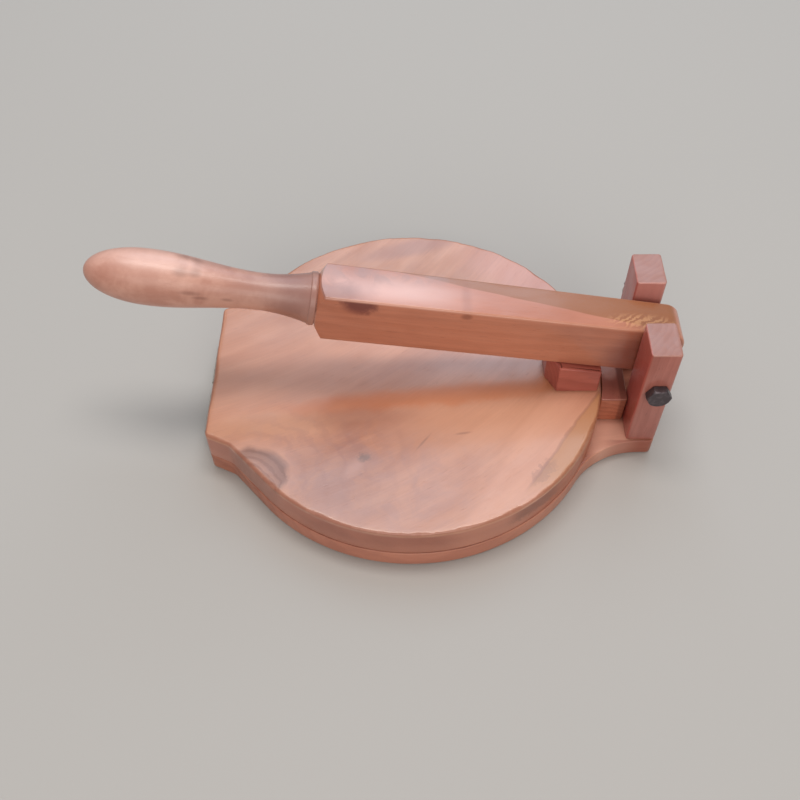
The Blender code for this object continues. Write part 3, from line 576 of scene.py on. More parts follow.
# Broad stains: cool along the near side and warm towards the tab. The brown oval at (-42, 0) and the grey
# oval at (50, 6) lie under the bar and are painted shade of the bar.
mauve = in_plan((-28, -66), (58, 34), -10, 0.7)
mauve = mauve * (0.35 + plate_wood.blotches(26, 40, 1.4) * 0.65)
plate_wood.tint(mauve * 0.58, (150, 108, 102))
for place, size, turn, share, stain in (((-82, -8), (42, 11), 8, 0.20, (150, 98, 72)),
                                        ((-42, 0), (36, 12), 4, 0.30, (160, 92, 60)),
                                        ((-80, 26), (36, 22), 0, 0.24, (160, 108, 88)),
                                        ((50, 6), (40, 9), 0, 0.32, (112, 100, 112)),
                                        ((-40, -74), (36, 17), -16, 0.30, (132, 92, 84))):
    plate_wood.tint(in_plan(place, size, turn) * share, stain)
far_patch = in_plan((0, 91), (26, 6), 17, 0.5)
plate_wood.tint(far_patch * 0.5, (148, 100, 92))
pale_strip = plate_wood.reach((0.84, -0.543, 0)) + plate_wood.wander * 22
plate_wood.tint(plate_wood.rise(pale_strip, 68, 73) * 0.40, (210, 150, 124))
# Streaks along the grain, the long one orange. The pale streak towards the tab and the pale patch in front
# of the orange streak are painted sheen.
grain_wave = (plate_wood.cloud(0.075, 4.0, 0.62) - 0.5) * 12
painted_sheen_streak = plate_wood.spot(plate_x, plate_y + grain_wave, (-62, -36), (38, 8), 7, 0.6)
plate_wood.tint(painted_sheen_streak * 0.35, (214, 158, 122))
ember_y = plate_y + grain_wave * 0.7
painted_sheen_patch = plate_wood.spot(plate_x, ember_y, (38, -34), (44, 19), 4, 0.7)
plate_wood.tint(painted_sheen_patch * 0.38, (230, 174, 144))
ember = plate_wood.spot(plate_x, ember_y, (10, -19), (66, 6), 6, 0.5)
plate_wood.tint(ember * 0.5, (204, 112, 54))
ember_end = plate_wood.spot(plate_x, ember_y, (-32, -25), (28, 6), 6, 0.6)
plate_wood.tint(ember_end * 0.36, (158, 84, 44))
smoky = plate_wood.spot(plate_x + grain_wave, plate_y, (-28, -33), (24, 6), 4, 0.6)
plate_wood.tint(smoky * 0.40, (134, 76, 56))
# The swirl is a dark eye of close curls, and the grain flows around it.
swirl_wave = (plate_wood.cloud(0.10, 3.0, 0.55) - 0.5) * 9
swirl_x = plate_x + swirl_wave
swirl_y = plate_y - swirl_wave * 0.6
swirl = plate_wood.spot(swirl_x, swirl_y, SWIRL, (18, 15), -8, 0.14)
swirl_heart = swirl * plate_wood.spot(swirl_x, swirl_y, (-82, -72), (15, 14), 0, 0.45)
plate_wood.tint((swirl - swirl_heart) * 0.72, (112, 72, 58))
eye_x = swirl_x - SWIRL_EYE[0]
eye_y = swirl_y - SWIRL_EYE[1]
from_eye = (eye_x * eye_x + eye_y * eye_y) ** 0.5
curls = plate_wood.rise(((from_eye + swirl_wave * 0.3) * 1.7).wave(), -0.3, 0.9)
flow = plate_wood.rise(((from_eye + grain_wave * 1.6) * 0.62).wave(), -0.1, 1.0)
flow = flow * in_plan((-46, -60), (40, 26), -12)
plate_wood.tint(flow * (1 - swirl) * 0.26, (146, 98, 88))
swirl_light = plate_wood.spot(swirl_x, swirl_y, SWIRL, (23, 19), -8, 0.2) * (1 - swirl)
plate_wood.tint(swirl_light * 0.22, (222, 166, 142))
plate_wood.tint(swirl_heart * 0.22, (150, 104, 84))
plate_wood.tint(swirl * curls * 0.40, (108, 58, 40))
# The knot has a pale ring. Two scratches lie between it and the uprights.
halo = plate_wood.spot(plate_x, plate_y + grain_wave * 0.4, (-28.0, -63.0), (6.0, 3.2), 50)
plate_wood.tint(halo * 0.25, (208, 160, 146))
plate_wood.tint(knot * 0.6, (96, 78, 72))
for place, size, turn in (((26.5, -42.5), (3.4, 0.6), 10), ((6.0, -48.0), (5.0, 0.5), 53)):
    scratch = in_plan(place, size, turn)
    plate_wood.tint(scratch * 0.4, (112, 72, 60))
# A strip of yellow sapwood with a dark edge and a ragged end.
sap_line = plate_wood.reach((0.82, -0.574, 0)) + plate_wood.wander * 8 + grain_wave * 0.25
sap = plate_wood.rise(sap_line, 89.2, 90.4) * plate_wood.rise(plate_y + grain_wave, -82, -66)
plate_wood.tint(sap * 0.75, (178, 122, 78))
sap_edge = plate_wood.rise(sap_line, 88.4, 89.4) * plate_wood.rise(sap_line, 90.6, 89.8)
sap_edge = sap_edge * plate_wood.rise(plate_y + grain_wave, -80, -68)
plate_wood.tint(sap_edge * 0.42, (136, 84, 62))
ragged = (plate_wood.cloud(0.35, 3.0, 0.6) - 0.5) * 9
sap_end = plate_wood.spot(plate_x + ragged, plate_y - ragged * 0.8, (65, -66), (9, 3.4), 50, 0.35)
plate_wood.tint(sap_end * 0.36, (134, 88, 72))
rosy = in_plan((66, 66), (34, 18), -40)
plate_wood.tint(rosy * 0.30, (214, 150, 152))
# The eased edge is rubbed through the varnish, and the rim below it has a tone of its own, painted lighter
# towards its foot.
top_z = plate_high.z * 1000
rubbed = plate_wood.cloud(0.16, 4.0, 0.7)
plate_wear = plate_wood.wear() * plate_wood.rise(plate_z, top_z - 3.0, top_z - 2.2)
plate_wood.tint(plate_wear * 0.7, (146, 86, 66))
chips = plate_wear * plate_wood.rise(rubbed, 0.50, 0.58)
plate_wood.tint(chips * 0.22, (190, 136, 116))
rim_dark = plate_wood.rise(plate_z + rubbed * 1.4, top_z - 1.2, top_z - 2.6)
face_tone = plate_wood.tone
plate_wood.tone = (168, 101, 80)
plate_wood.tint(plate_wood.patches(30, 200), (142, 81, 65))
# Painted light: the rim is lighter towards its foot, against the shade near the joint with the base.
plate_wood.tint(plate_wood.rise(plate_z, 21, 13) * 0.34, (196, 130, 108))
rim_light = in_plan((38, -94), (20, 10), 22, 0.7)
plate_wood.tint(rim_light * 0.45, (206, 138, 114))
plate_wood.tint(plate_wood.rise(plate_x, -50, -80) * 0.45, (186, 124, 110))
plate_wood.tint(plate_wood.rise(plate_x, 52, 72) * 0.8, (172, 82, 46))
rim_patch = plate_wood.spot(plate_x + grain_wave, plate_y, (62, -80), (15, 9), 38, 0.5)
rim_patch = rim_patch * plate_wood.rise(plate_z + ragged, 15, 19)
plate_wood.tint(rim_patch * 0.62, (104, 54, 38))
rim_shade = in_plan((-84, -66), (20, 15), -45, 0.7)
plate_wood.tint(rim_shade * 0.35, (112, 80, 70))
plate_wood.tone = plate_wood.mix(rim_dark * 0.85, face_tone, plate_wood.tone)
# Hands have worn the coat away on the side of the tab.
plate_grip = plate_wood.cloud(0.06, 3.0, 0.6)
handled = in_plan((-64, -8), (68, 24), 4, 0.9) * 0.75
bare = rim_dark * 0.8 + plate_wear * (0.6 - rim_dark * 0.6)
plate_wood.varnish(0.35, 0.6, 0.17, bare + handled * (1 - bare), 0.8)
plate_wood.cover(plate, 0.30 + plate_grip * 0.16)
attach(plate, "plate")
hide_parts("top_plate")

# Stop block
# A strip of dark reddish wood across the tail, close behind the plate's rim. It takes the plate's
# push and is held by two wood screws from below.


stop_low, stop_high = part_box("stop_block")
STOP_PLAY = 0.00025
STOP_CORNER_RADIUS = 0.0012
STOP_TOP_EASE = 0.0004
STOP_BOTTOM_EASE = 0.0002
STOP_FLAT_FROM = 0.0005


def stop_outline(inset):
    """Plan of the stop block. Its front is hollowed to follow the plate's rim."""
    front_radius = PLATE_RADIUS + STOP_PLAY
    half = degrees(asin(stop_high.y / front_radius))
    near_rim, far_rim = arc(0, 0, front_radius, 1 - half, half - 1, 1)
    front_x = front_radius * cos(radians(half))
    corners = [near_rim, (front_x, stop_low.y), (stop_high.x, stop_low.y), (stop_high.x, stop_high.y),
               (front_x, stop_high.y), far_rim]
    radii = (STOP_CORNER_RADIUS / 2, STOP_CORNER_RADIUS, STOP_CORNER_RADIUS, STOP_CORNER_RADIUS / 2)
    hollow = arc(0, 0, front_radius + inset, half - 1, 1 - half, 24)
    return rounded_line(corners, radii, inset, (6, 0, 6)) + hollow


stop = sanded_slab("stop_block_wood", stop_outline, stop_low.z, stop_high.z,
                   STOP_BOTTOM_EASE, STOP_TOP_EASE, 0.3, STOP_FLAT_FROM)
cut_away(stop, screw_holes("stop_holes", stop_screws, (0, 0, 1)))
stop_wood = Wood("stop block varnished wood", (194, 118, 88), (0, 1, 0.03), (100, 0, -20), 4.0, 0.6, 77)
stop_wood.timber((152, 84, 64), (66, 28, 22))
# The top is painted darker: painted shade of the lever above it.
stop_top = stop_wood.rise(stop_wood.reach((0, 0, 1)), 27.4, 28.1)
stop_wood.tint(stop_top * 0.55, (130, 76, 76))
stop_x = stop_wood.reach((1, 0, 0))
# A pale patch on the top beside the press block is painted light.
stop_painted_light = stop_wood.spot(stop_x, stop_wood.reach((0, 1, 0)), (105.2, -1.5), (4.2, 6.0), 0, 0.35)
stop_wood.tint(stop_painted_light * stop_top * 0.45, (208, 160, 146))
# The rear strip of the stop beside the uprights is painted darker: painted shade of the posts.
posts_painted_shade = stop_wood.rise(stop_x, 108.4, 109.8)
stop_wood.tint(posts_painted_shade * 0.45, (74, 36, 30))
stop_wood.tint(stop_wood.wear() * 0.35, (186, 124, 98))
stop_wood.varnish(0.3, 0.6, 0.22)
stop_wood.cover(stop, 0.36 + stop_wood.patches() * 0.12)
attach(stop, "base")
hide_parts("stop_block")

# Uprights
# Two posts of redder wood on the tail, sawn square, standing on end grain and screwed from below.
# The pivot bolt passes through both. Their tops are bare end grain, paler than the sides.
pivot_low, pivot_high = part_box("pivot_bolt")
PIVOT = Vector(((pivot_low.x + pivot_high.x) / 2, 0, (pivot_low.z + pivot_high.z) / 2))
BOLT_HOLE_RADIUS = 0.0035
BOLT_HOLE_REACH = 0.060
UPRIGHT_CORNER_RADIUS = 0.0016
UPRIGHT_TOP_EASE = 0.0006
UPRIGHT_BOTTOM_EASE = 0.0003
UPRIGHT_FLAT_FROM = 0.0015


def rounded_block(corners, radii, inset, lengths, steps=8):
    """A closed outline with rounded corners; lengths cuts up its sides, the last one leads back."""
    points = rounded_line([corners[-1], *corners, corners[0]], radii, inset, lengths, steps)
    return points + straight(points[-1], points[0], lengths[-1])


def bolt_way(along, first, second):
    """Axis frame of the pivot bolt."""
    return PIVOT.x + first, along, PIVOT.z + second


def bolt_hole(name):
    """A long cylinder around the pivot's axis."""
    bm = bmesh.new()
    turned(bm, [(-BOLT_HOLE_REACH, BOLT_HOLE_RADIUS), (BOLT_HOLE_REACH, BOLT_HOLE_RADIUS)], bolt_way, 48)
    return made_object(name, bm)


for side_name, screws, seed, far_share in (("near", upright_screws[:2], -12, 0.0),
                                           ("far", upright_screws[2:], 55, 0.6)):
    low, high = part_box("upright_" + side_name)
    corners = [(low.x, low.y), (high.x, low.y), (high.x, high.y), (low.x, high.y)]

    def upright_outline(inset, corners=corners):
        return rounded_block(corners, [UPRIGHT_CORNER_RADIUS] * 4, inset, [6] * 4)

    upright = sanded_slab("upright_%s_wood" % side_name, upright_outline, low.z, high.z,
                          UPRIGHT_BOTTOM_EASE, UPRIGHT_TOP_EASE, 0.8, UPRIGHT_FLAT_FROM)
    cut_away(upright, bolt_hole("upright_bolt_hole"), screw_holes("upright_holes", screws, (0, 0, 1)))
    post_wood = Wood("upright varnished wood " + side_name, (177, 110, 98), (0.03, 0.02, 1), (95, seed, 0),
                     3.2, 0.5, seed)
    post_wood.timber((143, 79, 67), (78, 34, 28), 0.16)
    post_height = post_wood.reach((0, 0, 1))
    end_grain = post_wood.rise(post_height, 78.8, 79.3)
    post_wood.tint(end_grain * 0.85, post_wood.mix(post_wood.rings() * 0.12, (158, 113, 102), (112, 70, 60)))
    front = post_wood.rise(post_wood.reach((1, 0, 0)), 114.0, 113.3)
    post_wood.tint(front * 0.6, (178, 76, 70))
    # The far post's inner side above the lever is painted paler: painted light.
    inner_side_painted_light = post_wood.rise(post_wood.reach((0, 1, 0)), 14.0, 13.2) * post_wood.rise(post_height, 60, 70)
    post_wood.tint(inner_side_painted_light * far_share, (206, 140, 132))
    post_wood.tint(post_wood.wear() * 0.3, (190, 134, 120))
    post_wood.varnish(0.4, 0.8, 0.2)
    post_wood.cover(upright, 0.34 + end_grain * 0.16 + post_wood.patches() * 0.08)
    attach(upright, "base")
    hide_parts("upright_" + side_name)

# Screws from below
# Six countersunk wood screws with a driver slot, four up into the uprights and two into the stop
# block. They are bright steel, dulled by handling.
screw_steel = steel("wood screw steel", (200, 197, 189), (140, 134, 124), 0.28, (1, 0, 0))
for node in upright_screws + stop_screws:
    dress(node, screw_steel)

# Press block
# A small block of deep red-brown wood glued on the plate's rear edge, its front cut to a nose and
# its top sloped to meet the lever.
press_low, press_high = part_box("press_block")
PRESS_NOSE_LENGTH = 0.0054
PRESS_NOSE_HALF_WIDTH = 0.0060
PRESS_CORNER_RADIUS = 0.0010
PRESS_EDGE = 0.0006
LEVER_INCLINE = radians(9.0)


def press_outline(inset):
    """Plan of the press block with its blunt nose, counter-clockwise."""
    shoulder_x = press_low.x + PRESS_NOSE_LENGTH
    near = [(press_low.x, -PRESS_NOSE_HALF_WIDTH), (shoulder_x, press_low.y), (press_high.x, press_low.y)]
    corners = near + [(x, -y) for x, y in reversed(near)]
    return rounded_block(corners, [PRESS_CORNER_RADIUS] * 6, inset, [0] * 6)


def press_top(x):
    """Height of the block's sloped top."""
    return press_high.z - (x - press_low.x) * tan(LEVER_INCLINE)


# Rings from the underside up: how far in and how far down in edge widths, and the share of the height.
press_rings = []
for inset, share, drop in ((2, 0, 0), (0.5, 0, 0), (0, 0, -0.5), (0, 1, 1), (0.1, 1, 0.5), (0.4, 1, 0.12),
                           (1, 1, 0), (3, 1, 0)):
    ring = []
    for x, y in press_outline(PRESS_EDGE * inset):
        ring.append((x, y, press_low.z + (press_top(x) - press_low.z) * share - PRESS_EDGE * drop))
    press_rings.append(ring)
bm = bmesh.new()
skin(bm, press_rings)
press = made_object("press_block_wood", bm)
press_wood = Wood("press block varnished wood", (184, 101, 87), (1, 0.05, 0.02), (0, 30, 10), 3.4, 0.7, 23)
press_wood.timber((148, 74, 62), (78, 30, 24))
press_front = press_wood.rise(press_wood.reach((1, 0, 0)), 76.4, 75.4)
press_wood.tint(press_front * 0.3, (140, 70, 70))
press_wood.varnish(0.3, 0.6, 0.22)
press_wood.cover(press, 0.36 + press_wood.patches() * 0.12)
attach(press, "plate")
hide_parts("press_block")

# Lever
# One length of wood. The bar is planed square, with a taper on its far side and a rounded rear
# end; its front is turned down in a cone to a ring, and then to a slim neck and a swelling grip.
LEVER_NEAR_Y = -0.0127
LEVER_FRONT_WIDTH = 0.0240
LEVER_REAR_WIDTH = 0.0210
LEVER_HEIGHT = 0.0302
LEVER_RAISE = 0.0048
LEVER_REAR_REACH = 0.01285
LEVER_TOP_REAR_RADIUS = 0.0095
LEVER_LOW_REAR_RADIUS = 0.0060
LEVER_EDGE = 0.0015
BAR_LENGTH = 0.1664
BAR_SPARE = 0.0050
SHOULDER_END = 0.1709
SHOULDER_START_RADIUS = 0.0196
SHOULDER_END_RADIUS = 0.0126
SHOULDER_SLOPE = 1.238
RING_START = 0.1711
RING_END = 0.1744
RING_RADIUS = 0.0132
RING_EDGE = 0.0007
RING_STEP = 0.00005
GROOVE_DEPTH = 0.0004
COVE_LENGTH = 0.0236
COVE_CURVE = 1.9
GRIP_OVERLAP = 0.0010
HANDLE_NECK_RADIUS = 0.0091
HANDLE_RISE_LENGTH = 0.0520
HANDLE_SWELL_RADIUS = 0.0135
HANDLE_NOSE_LENGTH = 0.03126
HANDLE_NOSE_CURVE = 2.2
HANDLE_AXIS_Y = -0.0006
HANDLE_AXIS_RAISE = 0.0010
HANDLE_TILT = radians(2.1)
lever_turn = Matrix.Translation(PIVOT) @ Matrix.Rotation(LEVER_INCLINE, 4, "Y")


def lever_far_y(x):
    """The tapered far side of the bar; x is negative towards the handle."""
    share = min(max(-x / BAR_LENGTH, 0.0), 1.0)
    return LEVER_NEAR_Y + LEVER_REAR_WIDTH + (LEVER_FRONT_WIDTH - LEVER_REAR_WIDTH) * share


def bar_outline(inset):
    """The bar seen from the side, counter-clockwise, around the bolt's axis."""
    low_z = LEVER_RAISE - LEVER_HEIGHT / 2
    high_z = LEVER_RAISE + LEVER_HEIGHT / 2
    front_x = -SHOULDER_END - BAR_SPARE
    corners = [(front_x, low_z), (LEVER_REAR_REACH, low_z), (LEVER_REAR_REACH, high_z), (front_x, high_z)]
    radii = (LEVER_EDGE, LEVER_LOW_REAR_RADIUS, LEVER_TOP_REAR_RADIUS, LEVER_EDGE)
    return rounded_block(corners, radii, inset, (30, 30, 30, 12), 10)


def lever_line(along, first, second):
    """Axis frame along the bar's centre line, towards the handle."""
    return -along, HANDLE_AXIS_Y + first, LEVER_RAISE + second


def handle_line(along, first, second):
    """Axis frame along the handle, which leans up a little from the bar."""
    reach = along - SHOULDER_END
    outward = reach * cos(HANDLE_TILT) - second * sin(HANDLE_TILT)
    upward = reach * sin(HANDLE_TILT) + second * cos(HANDLE_TILT)
    return -SHOULDER_END - outward, HANDLE_AXIS_Y + first, LEVER_RAISE + HANDLE_AXIS_RAISE + upward


bar_rings = []
for angle in QUARTER:
    depth = LEVER_NEAR_Y + LEVER_EDGE * (1 - cos(angle))
    bar_rings.append([(x, depth, z) for x, z in bar_outline(LEVER_EDGE * (1 - sin(angle)))])
for angle in QUARTER:
    depth = -LEVER_EDGE * (1 - sin(angle))
    outline = bar_outline(LEVER_EDGE * (1 - cos(angle)))
    bar_rings.append([(x, lever_far_y(x) + depth, z) for x, z in outline])
bm = bmesh.new()
wear_layer = bm.verts.layers.float.new("wear")
for vertices, angle in zip(skin(bm, bar_rings), QUARTER + QUARTER):
    for vertex in vertices:
        vertex[wear_layer] = sin(2 * angle)
lever = made_object("lever_wood", bm)
bm = bmesh.new()
outside = LEVER_HEIGHT
cone_start = BAR_LENGTH - (outside - SHOULDER_START_RADIUS) / SHOULDER_SLOPE
behind = -0.0400
turned(bm, [(behind, outside), (cone_start, outside), (BAR_LENGTH, SHOULDER_START_RADIUS),
            (SHOULDER_END, SHOULDER_END_RADIUS)], lever_line, 128)
cone = made_object("shoulder_guide", bm)
neck_at = RING_END + COVE_LENGTH
swell_at = neck_at + HANDLE_RISE_LENGTH
groove = SHOULDER_END_RADIUS - GROOVE_DEPTH
handle_profile = [(SHOULDER_END - GRIP_OVERLAP, groove), (RING_START, groove)]
handle_profile += [(RING_START + RING_EDGE * (1 - cos(angle)) + RING_STEP,
                    RING_RADIUS - RING_EDGE * (1 - sin(angle))) for angle in QUARTER]
handle_profile += [(RING_END - RING_EDGE * (1 - sin(angle)),
                    RING_RADIUS - RING_EDGE * (1 - cos(angle))) for angle in QUARTER]
cove_rise = RING_RADIUS - RING_EDGE - HANDLE_NECK_RADIUS
for index in range(1, 21):
    share = index / 20
    radius = HANDLE_NECK_RADIUS + cove_rise * (1 - share) ** COVE_CURVE
    handle_profile.append((RING_END + COVE_LENGTH * share, radius))
for index in range(1, 25):
    share = index / 24
    rise = (HANDLE_SWELL_RADIUS - HANDLE_NECK_RADIUS) * (1 - cos(pi * share)) / 2
    handle_profile.append((neck_at + HANDLE_RISE_LENGTH * share, HANDLE_NECK_RADIUS + rise))
nose_steps = 28
for index in range(1, nose_steps + 1):
    share = sin(pi / 2 * index / (nose_steps + 0.4))
    radius = HANDLE_SWELL_RADIUS * sqrt(1 - share ** HANDLE_NOSE_CURVE)
    handle_profile.append((swell_at + HANDLE_NOSE_LENGTH * share, radius))
bm = bmesh.new()
turned(bm, handle_profile, handle_line, 96)
grip = made_object("grip_guide", bm)
for helper, operation in ((cone, "INTERSECT"), (grip, "UNION")):
    step = lever.modifiers.new(operation.title(), "BOOLEAN")
    step.operation = operation
    step.solver = "EXACT"
    step.object = helper
keep_shape(lever, cone, grip)
lever.data.transform(lever_turn)
cut_away(lever, bolt_hole("lever_bolt_hole"))

lever_way = lever_turn.to_3x3() @ Vector((-1, 0, 0))
lever_up = lever_turn.to_3x3() @ Vector((0, 0, 1))
pivot_mm = PIVOT * 1000
lever_pith = pivot_mm + Vector((0, 16, -34))
lever_wood = Wood("lever varnished wood", (189, 118, 91), lever_way, lever_pith, 6.0, 0.9, 9)
lever_u = lever_wood.reach(lever_way, pivot_mm)
lever_y = lever_wood.reach((0, 1, 0))
lever_h = lever_wood.reach(lever_up, pivot_mm)
lever_wood.timber((162, 95, 70), (92, 44, 30), 0.25, 0.25)
top_face = lever_wood.rise(lever_h, 18.4, 19.6)
top_tone = lever_wood.mix(lever_wood.patches(26, 40), (190, 122, 98), (176, 108, 84))
lever_wood.tint(top_face * 0.6, top_tone)
# On the top face the wood is tan beyond a slanting line, browner at the rear and scuffed in front, with a
# painted sheen near the front.
tan_line = lever_y - lever_u * 0.158 + lever_wood.wander * 8
tan_part = lever_wood.rise(tan_line, -11.3, -10.5) * top_face
lever_wood.tint(tan_part * 0.80, (144, 88, 50))
rear_top = lever_wood.rise(lever_u, 34, 4) * top_face
lever_wood.tint(rear_top * 0.55, (146, 88, 52))
top_painted_sheen = lever_wood.spot(lever_u, lever_y, (136, -2.5), (30, 8), 0) * top_face
lever_wood.tint(top_painted_sheen * 0.55, (238, 198, 192))
front_scuff = lever_wood.spot(lever_u, lever_y + lever_wood.blotches(9, 35) * 3, (163, -7), (11, 7), 0, 0.6)
lever_wood.tint(front_scuff * top_face * 0.55, (134, 98, 94))
scuffs = lever_wood.spot(lever_u, lever_y, (142, 9), (44, 8), -3, 0.5) * top_face
scuffs = scuffs * (0.25 + lever_wood.blotches(11, 15) * 0.75)
lever_wood.tint(scuffs * 0.5, (150, 122, 120))
curl_turn = (lever_u + lever_y * 1.4 + lever_wood.cloud(0.16, 3.0, 0.55) * 15) / 4.4
curl = lever_wood.rise((curl_turn * 6.283).wave(), -0.6, 0.9)
curl = curl * lever_wood.spot(lever_u, lever_y, (11, -6.2), (15, 4.2), -4, 0.5)
lever_wood.tint(curl * top_face * 0.42, (224, 164, 116))
band = lever_wood.spot(lever_u, lever_y, (99, -4), (2.2, 12), 0) * top_face
lever_wood.tint(band * 0.30, (140, 84, 68))
# The near side has a red stain at the shoulder, a dark fleck, and painted shade beside the upright.
stain_edge = lever_wood.cloud(0.35, 3.0, 0.6) * 7
stain = lever_wood.spot(lever_u + stain_edge, lever_h + stain_edge * 0.5, (154, 19.5), (8, 6), 0, 0.45)
lever_wood.tint(stain * (1 - top_face * 0.82) * 0.85, (96, 34, 34))
fleck = lever_wood.spot(lever_u, lever_h, (98.7, 17.0), (2.6, 1.7), 0, 0.5)
lever_wood.tint(fleck * 0.6, (118, 60, 42))
lever_wood.tint(lever_wood.wear() * 0.35, (206, 144, 116))
# Painted shade of the near upright on the lever's near side.
post_shade = lever_wood.spot(lever_u, lever_h, (2, -3), (21, 22), -20, 0.4)
post_shade = post_shade * lever_wood.rise(lever_y, -12.2, -12.6)
lever_wood.tint(post_shade * 0.62, (98, 38, 36))
# The turned grip is paler, with a painted highlight on its top and painted shade in its cove, and it is
# soiled by hands.
turned_part = lever_wood.rise(lever_u, 170, 171.2)
grip_tone = lever_wood.mix(lever_wood.blotches(16, 30, 0.2), (202, 154, 138), (180, 130, 115))
lever_wood.tint(turned_part * 0.8, grip_tone)
hand_dirt = lever_wood.rise(lever_y + lever_wood.blotches(11, 70) * 5, 3, 9)
hand_dirt = hand_dirt * lever_wood.rise(lever_u, 270, 225)
lever_wood.tint(hand_dirt * turned_part * 0.4, (134, 102, 98))
# The cove beside the ring is painted darker: painted shade in the hollow.
cove_painted_shade = lever_wood.spot(lever_u, lever_h, (179, 8), (13, 18), 0) * turned_part
lever_wood.tint(cove_painted_shade * 0.5, (116, 76, 70))
held_end = lever_wood.rise(lever_u, 262, 280)
lever_wood.tint(held_end * 0.40, (164, 106, 90))
# A pale patch on the grip's upper side is a painted highlight.
grip_painted_highlight = lever_wood.spot(lever_u + lever_wood.blotches(12, 90) * 8, lever_y, (252, -1), (22, 7), 0)
grip_painted_highlight = grip_painted_highlight * turned_part * lever_wood.rise(lever_h, 8, 16)
lever_wood.tint(grip_painted_highlight * 0.5, (240, 196, 182))
neck_top = lever_wood.spot(lever_u, lever_h, (190, 15), (20, 6), 0) * turned_part
lever_wood.tint(neck_top * 0.35, (132, 104, 102))
for place, size in (((230, 12.5), (4.5, 0.9)), ((225.6, 10.0), (3.2, 0.8)), ((235, 19.6), (3.2, 0.9)),
                    ((228.4, 19.0), (2.6, 0.8)), ((213, 9.0), (2.4, 0.8))):
    lever_wood.tint(lever_wood.spot(lever_u, lever_h, place, size, 6, 0.7) * 0.35, (96, 58, 48))
lever_grip = lever_wood.cloud(0.07, 3.0, 0.6)
lever_wood.varnish(0.5, 0.9, 0.17, turned_part * 0.85, 0.5)
lever_wood.cover(lever, 0.30 + lever_grip * 0.16, 0.6)
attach(lever, "arm")
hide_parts("lever_arm")

# Pivot bolt and nut
# A quarter inch hexagon bolt of blackened steel, put in from the near side. Its nut sits on a
# plain washer at the far upright, and the last threads stand just clear of it.
HEX_ACROSS_FLATS = 0.0111
HEX_CHAMFER = 0.0009
HEX_SEGMENTS = 96
HEAD_HEIGHT = 0.0041
EDGE_BREAK = 0.0003
BOLT_RADIUS = 0.003175
NUT_CLEARANCE = 0.0002
THREAD_DEPTH = 0.00035
THREAD_PITCH = 0.00127
nut_low, nut_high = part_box("pivot_nut")
head_face = pivot_low.y + HEAD_HEIGHT
half_flat = HEX_ACROSS_FLATS / 2
corner_radius = half_flat / cos(pi / 6)


def hex_rings(levels):
    """Rings of a hexagon bar along the bolt's axis; levels holds (distance along, largest radius)."""
    rings = []
    for along, limit in levels:
        ring = []
        for index in range(HEX_SEGMENTS):
            angle = 2 * pi * index / HEX_SEGMENTS
            radius = min(half_flat / cos(angle % (pi / 3) - pi / 6), limit)
            ring.append(bolt_way(along, radius * cos(angle), radius * sin(angle)))
        rings.append(ring)
    return rings


face_radius = half_flat * 0.97
head_levels = [(pivot_low.y, half_flat * 0.55), (pivot_low.y, half_flat * 0.93)]
for index in range(6):
    share = index / 5
    head_levels.append((pivot_low.y + HEX_CHAMFER * share,
                        face_radius + (corner_radius - face_radius) * share))
head_levels += [(head_face - EDGE_BREAK, corner_radius), (head_face, corner_radius - 0.0002)]
bm = bmesh.new()
skin(bm, hex_rings(head_levels))
shank = [(head_face - 0.0002, BOLT_RADIUS)]
thread_from = nut_low.y - 0.0060
shank.append((thread_from, BOLT_RADIUS))
turns = int((pivot_high.y - thread_from) / THREAD_PITCH)
for index in range(turns):
    start = thread_from + index * THREAD_PITCH
    shank.append((start + THREAD_PITCH * 0.45, BOLT_RADIUS - THREAD_DEPTH))
    shank.append((start + THREAD_PITCH * 0.95, BOLT_RADIUS))
shank.append((pivot_high.y, BOLT_RADIUS - THREAD_DEPTH * 1.5))
turned(bm, shank, bolt_way, 48)
bolt = made_object("pivot_bolt_steel", bm)
bm = bmesh.new()
rings = hex_rings([(nut_low.y, face_radius), (nut_low.y + EDGE_BREAK, corner_radius),
                   (nut_high.y - HEX_CHAMFER, corner_radius),
                   (nut_high.y - HEX_CHAMFER / 2, half_flat * 1.07), (nut_high.y, face_radius)])
for along in (nut_high.y, nut_low.y):
    rings.append(circle(bolt_way, along, BOLT_RADIUS + NUT_CLEARANCE, HEX_SEGMENTS))
loops = [[bm.verts.new(point) for point in ring] for ring in rings]
bridge(bm, loops + loops[:1])
nut = made_object("pivot_nut_steel", bm)

black = Finish("blackened bolt steel", (86, 78, 82))
scale_marks = black.cloud(0.9, 5.0, 0.65)
rubbed = black.rise(black.cloud(0.45, 3.0, 0.6), 0.45, 0.70)
black.tint(rubbed, (102, 94, 98))
black.tint(black.rise(scale_marks, 0.60, 0.72) * 0.2, (104, 72, 58))
black.shader.inputs["Metallic"].default_value = 0.75
bolt_black = black.lay(0.36 + scale_marks * 0.10, scale_marks * 0.03, 0.15)
for made, node in ((bolt, "pivot_bolt"), (nut, "pivot_nut")):
    made.data.materials.append(bolt_black)
    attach(made, "base")
    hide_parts(node)
dress("pivot_washer", steel("washer steel", (188, 184, 178), (128, 122, 116), 0.32, (1, 0, 0)))

# Table
# A plain pale table top that runs out of view on all sides. It isn't part of the press.
TABLE_HALF = 6.0
TABLE_GAP = 0.0002
bm = bmesh.new()
bmesh.ops.create_grid(bm, x_segments=4, y_segments=4, size=TABLE_HALF)
floor = made_object("table", bm)
floor.location.z = -TABLE_GAP
floor_finish = Finish("pale table", (175, 171, 167))
floor_shade = floor_finish.cloud(0.002, 2.0, 0.5)
floor_finish.tint(floor_shade, (173, 169, 165))
floor.data.materials.append(floor_finish.lay(0.85, floor_shade * 0.1, 0.1))

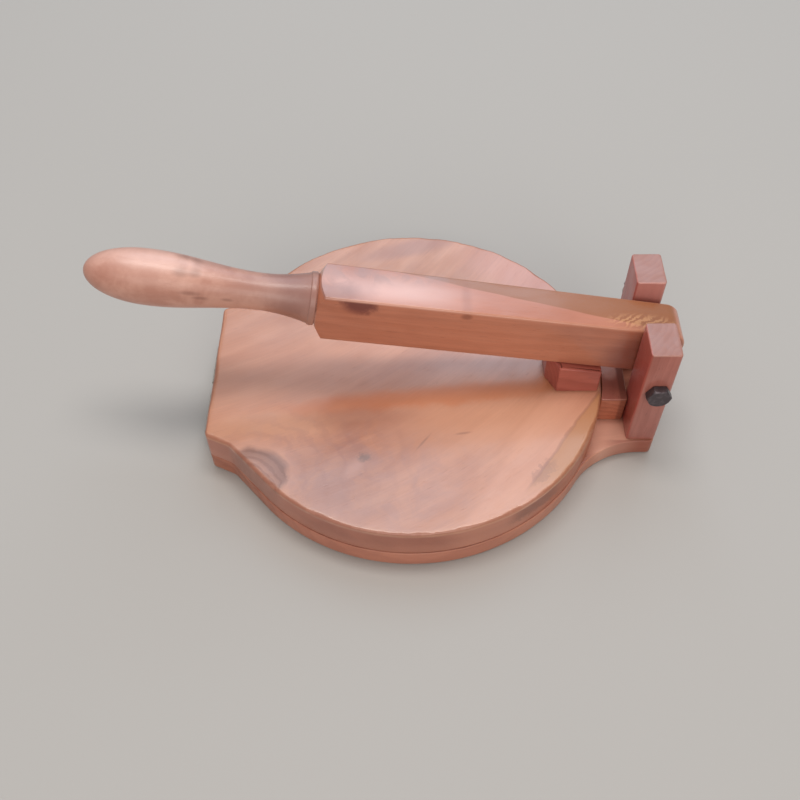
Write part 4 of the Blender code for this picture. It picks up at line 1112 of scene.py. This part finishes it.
# Lights
# Large soft lamps: a pale sky panel behind and above, which the varnish mirrors towards the
# camera, a warm one at the front, and an even grey all round.
world = bpy.data.worlds.new("studio")
bpy.context.scene.world = world
world.use_nodes = True
world.node_tree.nodes["Background"].inputs["Color"].default_value = (1.0, 0.985, 0.96, 1.0)
world.node_tree.nodes["Background"].inputs["Strength"].default_value = 0.42


def lamp(name, place, aim, size, power, colour):
    """A square soft lamp at place that points at aim."""
    light = bpy.data.lights.new(name, "AREA")
    light.shape = "RECTANGLE"
    light.size = size[0]
    light.size_y = size[1]
    light.energy = power
    light.color = colour
    made = bpy.data.objects.new(name, light)
    bpy.context.scene.collection.objects.link(made)
    made.location = place
    made.rotation_euler = (Vector(aim) - Vector(place)).to_track_quat("-Z", "Y").to_euler()


lamp("sky_panel", (0.14, 1.15, 1.45), (0, 0, 0), (1.25, 1.3), 11.5, (0.70, 0.84, 1.0))
lamp("top_panel", (0.05, 0.22, 1.95), (0, 0, 0), (1.3, 0.45), 18, (1.0, 0.98, 0.95))
lamp("front_panel", (0.10, -1.60, 1.00), (0, 0, 0.03), (1.6, 1.0), 13.5, (1.0, 0.93, 0.86))

# Camera
# It stands at the place, direction and lens that the photograph of the press was solved for.
CAMERA_PLACE = Vector((-0.0011366, -0.3162242, 0.4216060))
CAMERA_YAW = -0.015804
CAMERA_DIP = 0.926710
CAMERA_ROLL = -0.014655
FOCAL_SHARE = 941.965 / 800
FILM_WIDTH = 36.0

ahead = Vector((sin(CAMERA_YAW) * cos(CAMERA_DIP), cos(CAMERA_YAW) * cos(CAMERA_DIP),
                -sin(CAMERA_DIP)))
level_right = Vector((cos(CAMERA_YAW), -sin(CAMERA_YAW), 0))
level_up = level_right.cross(ahead)
right = level_right * cos(CAMERA_ROLL) + level_up * sin(CAMERA_ROLL)
upward = level_up * cos(CAMERA_ROLL) - level_right * sin(CAMERA_ROLL)
camera_data = bpy.data.cameras.new("camera")
camera_data.sensor_width = FILM_WIDTH
camera_data.lens = FILM_WIDTH * FOCAL_SHARE
camera = bpy.data.objects.new("camera", camera_data)
bpy.context.scene.collection.objects.link(camera)
camera_turn = Matrix((right, upward, -ahead)).transposed().to_4x4()
camera.matrix_world = Matrix.Translation(CAMERA_PLACE) @ camera_turn
bpy.context.scene.camera = camera
bpy.context.scene.view_settings.view_transform = "Standard"
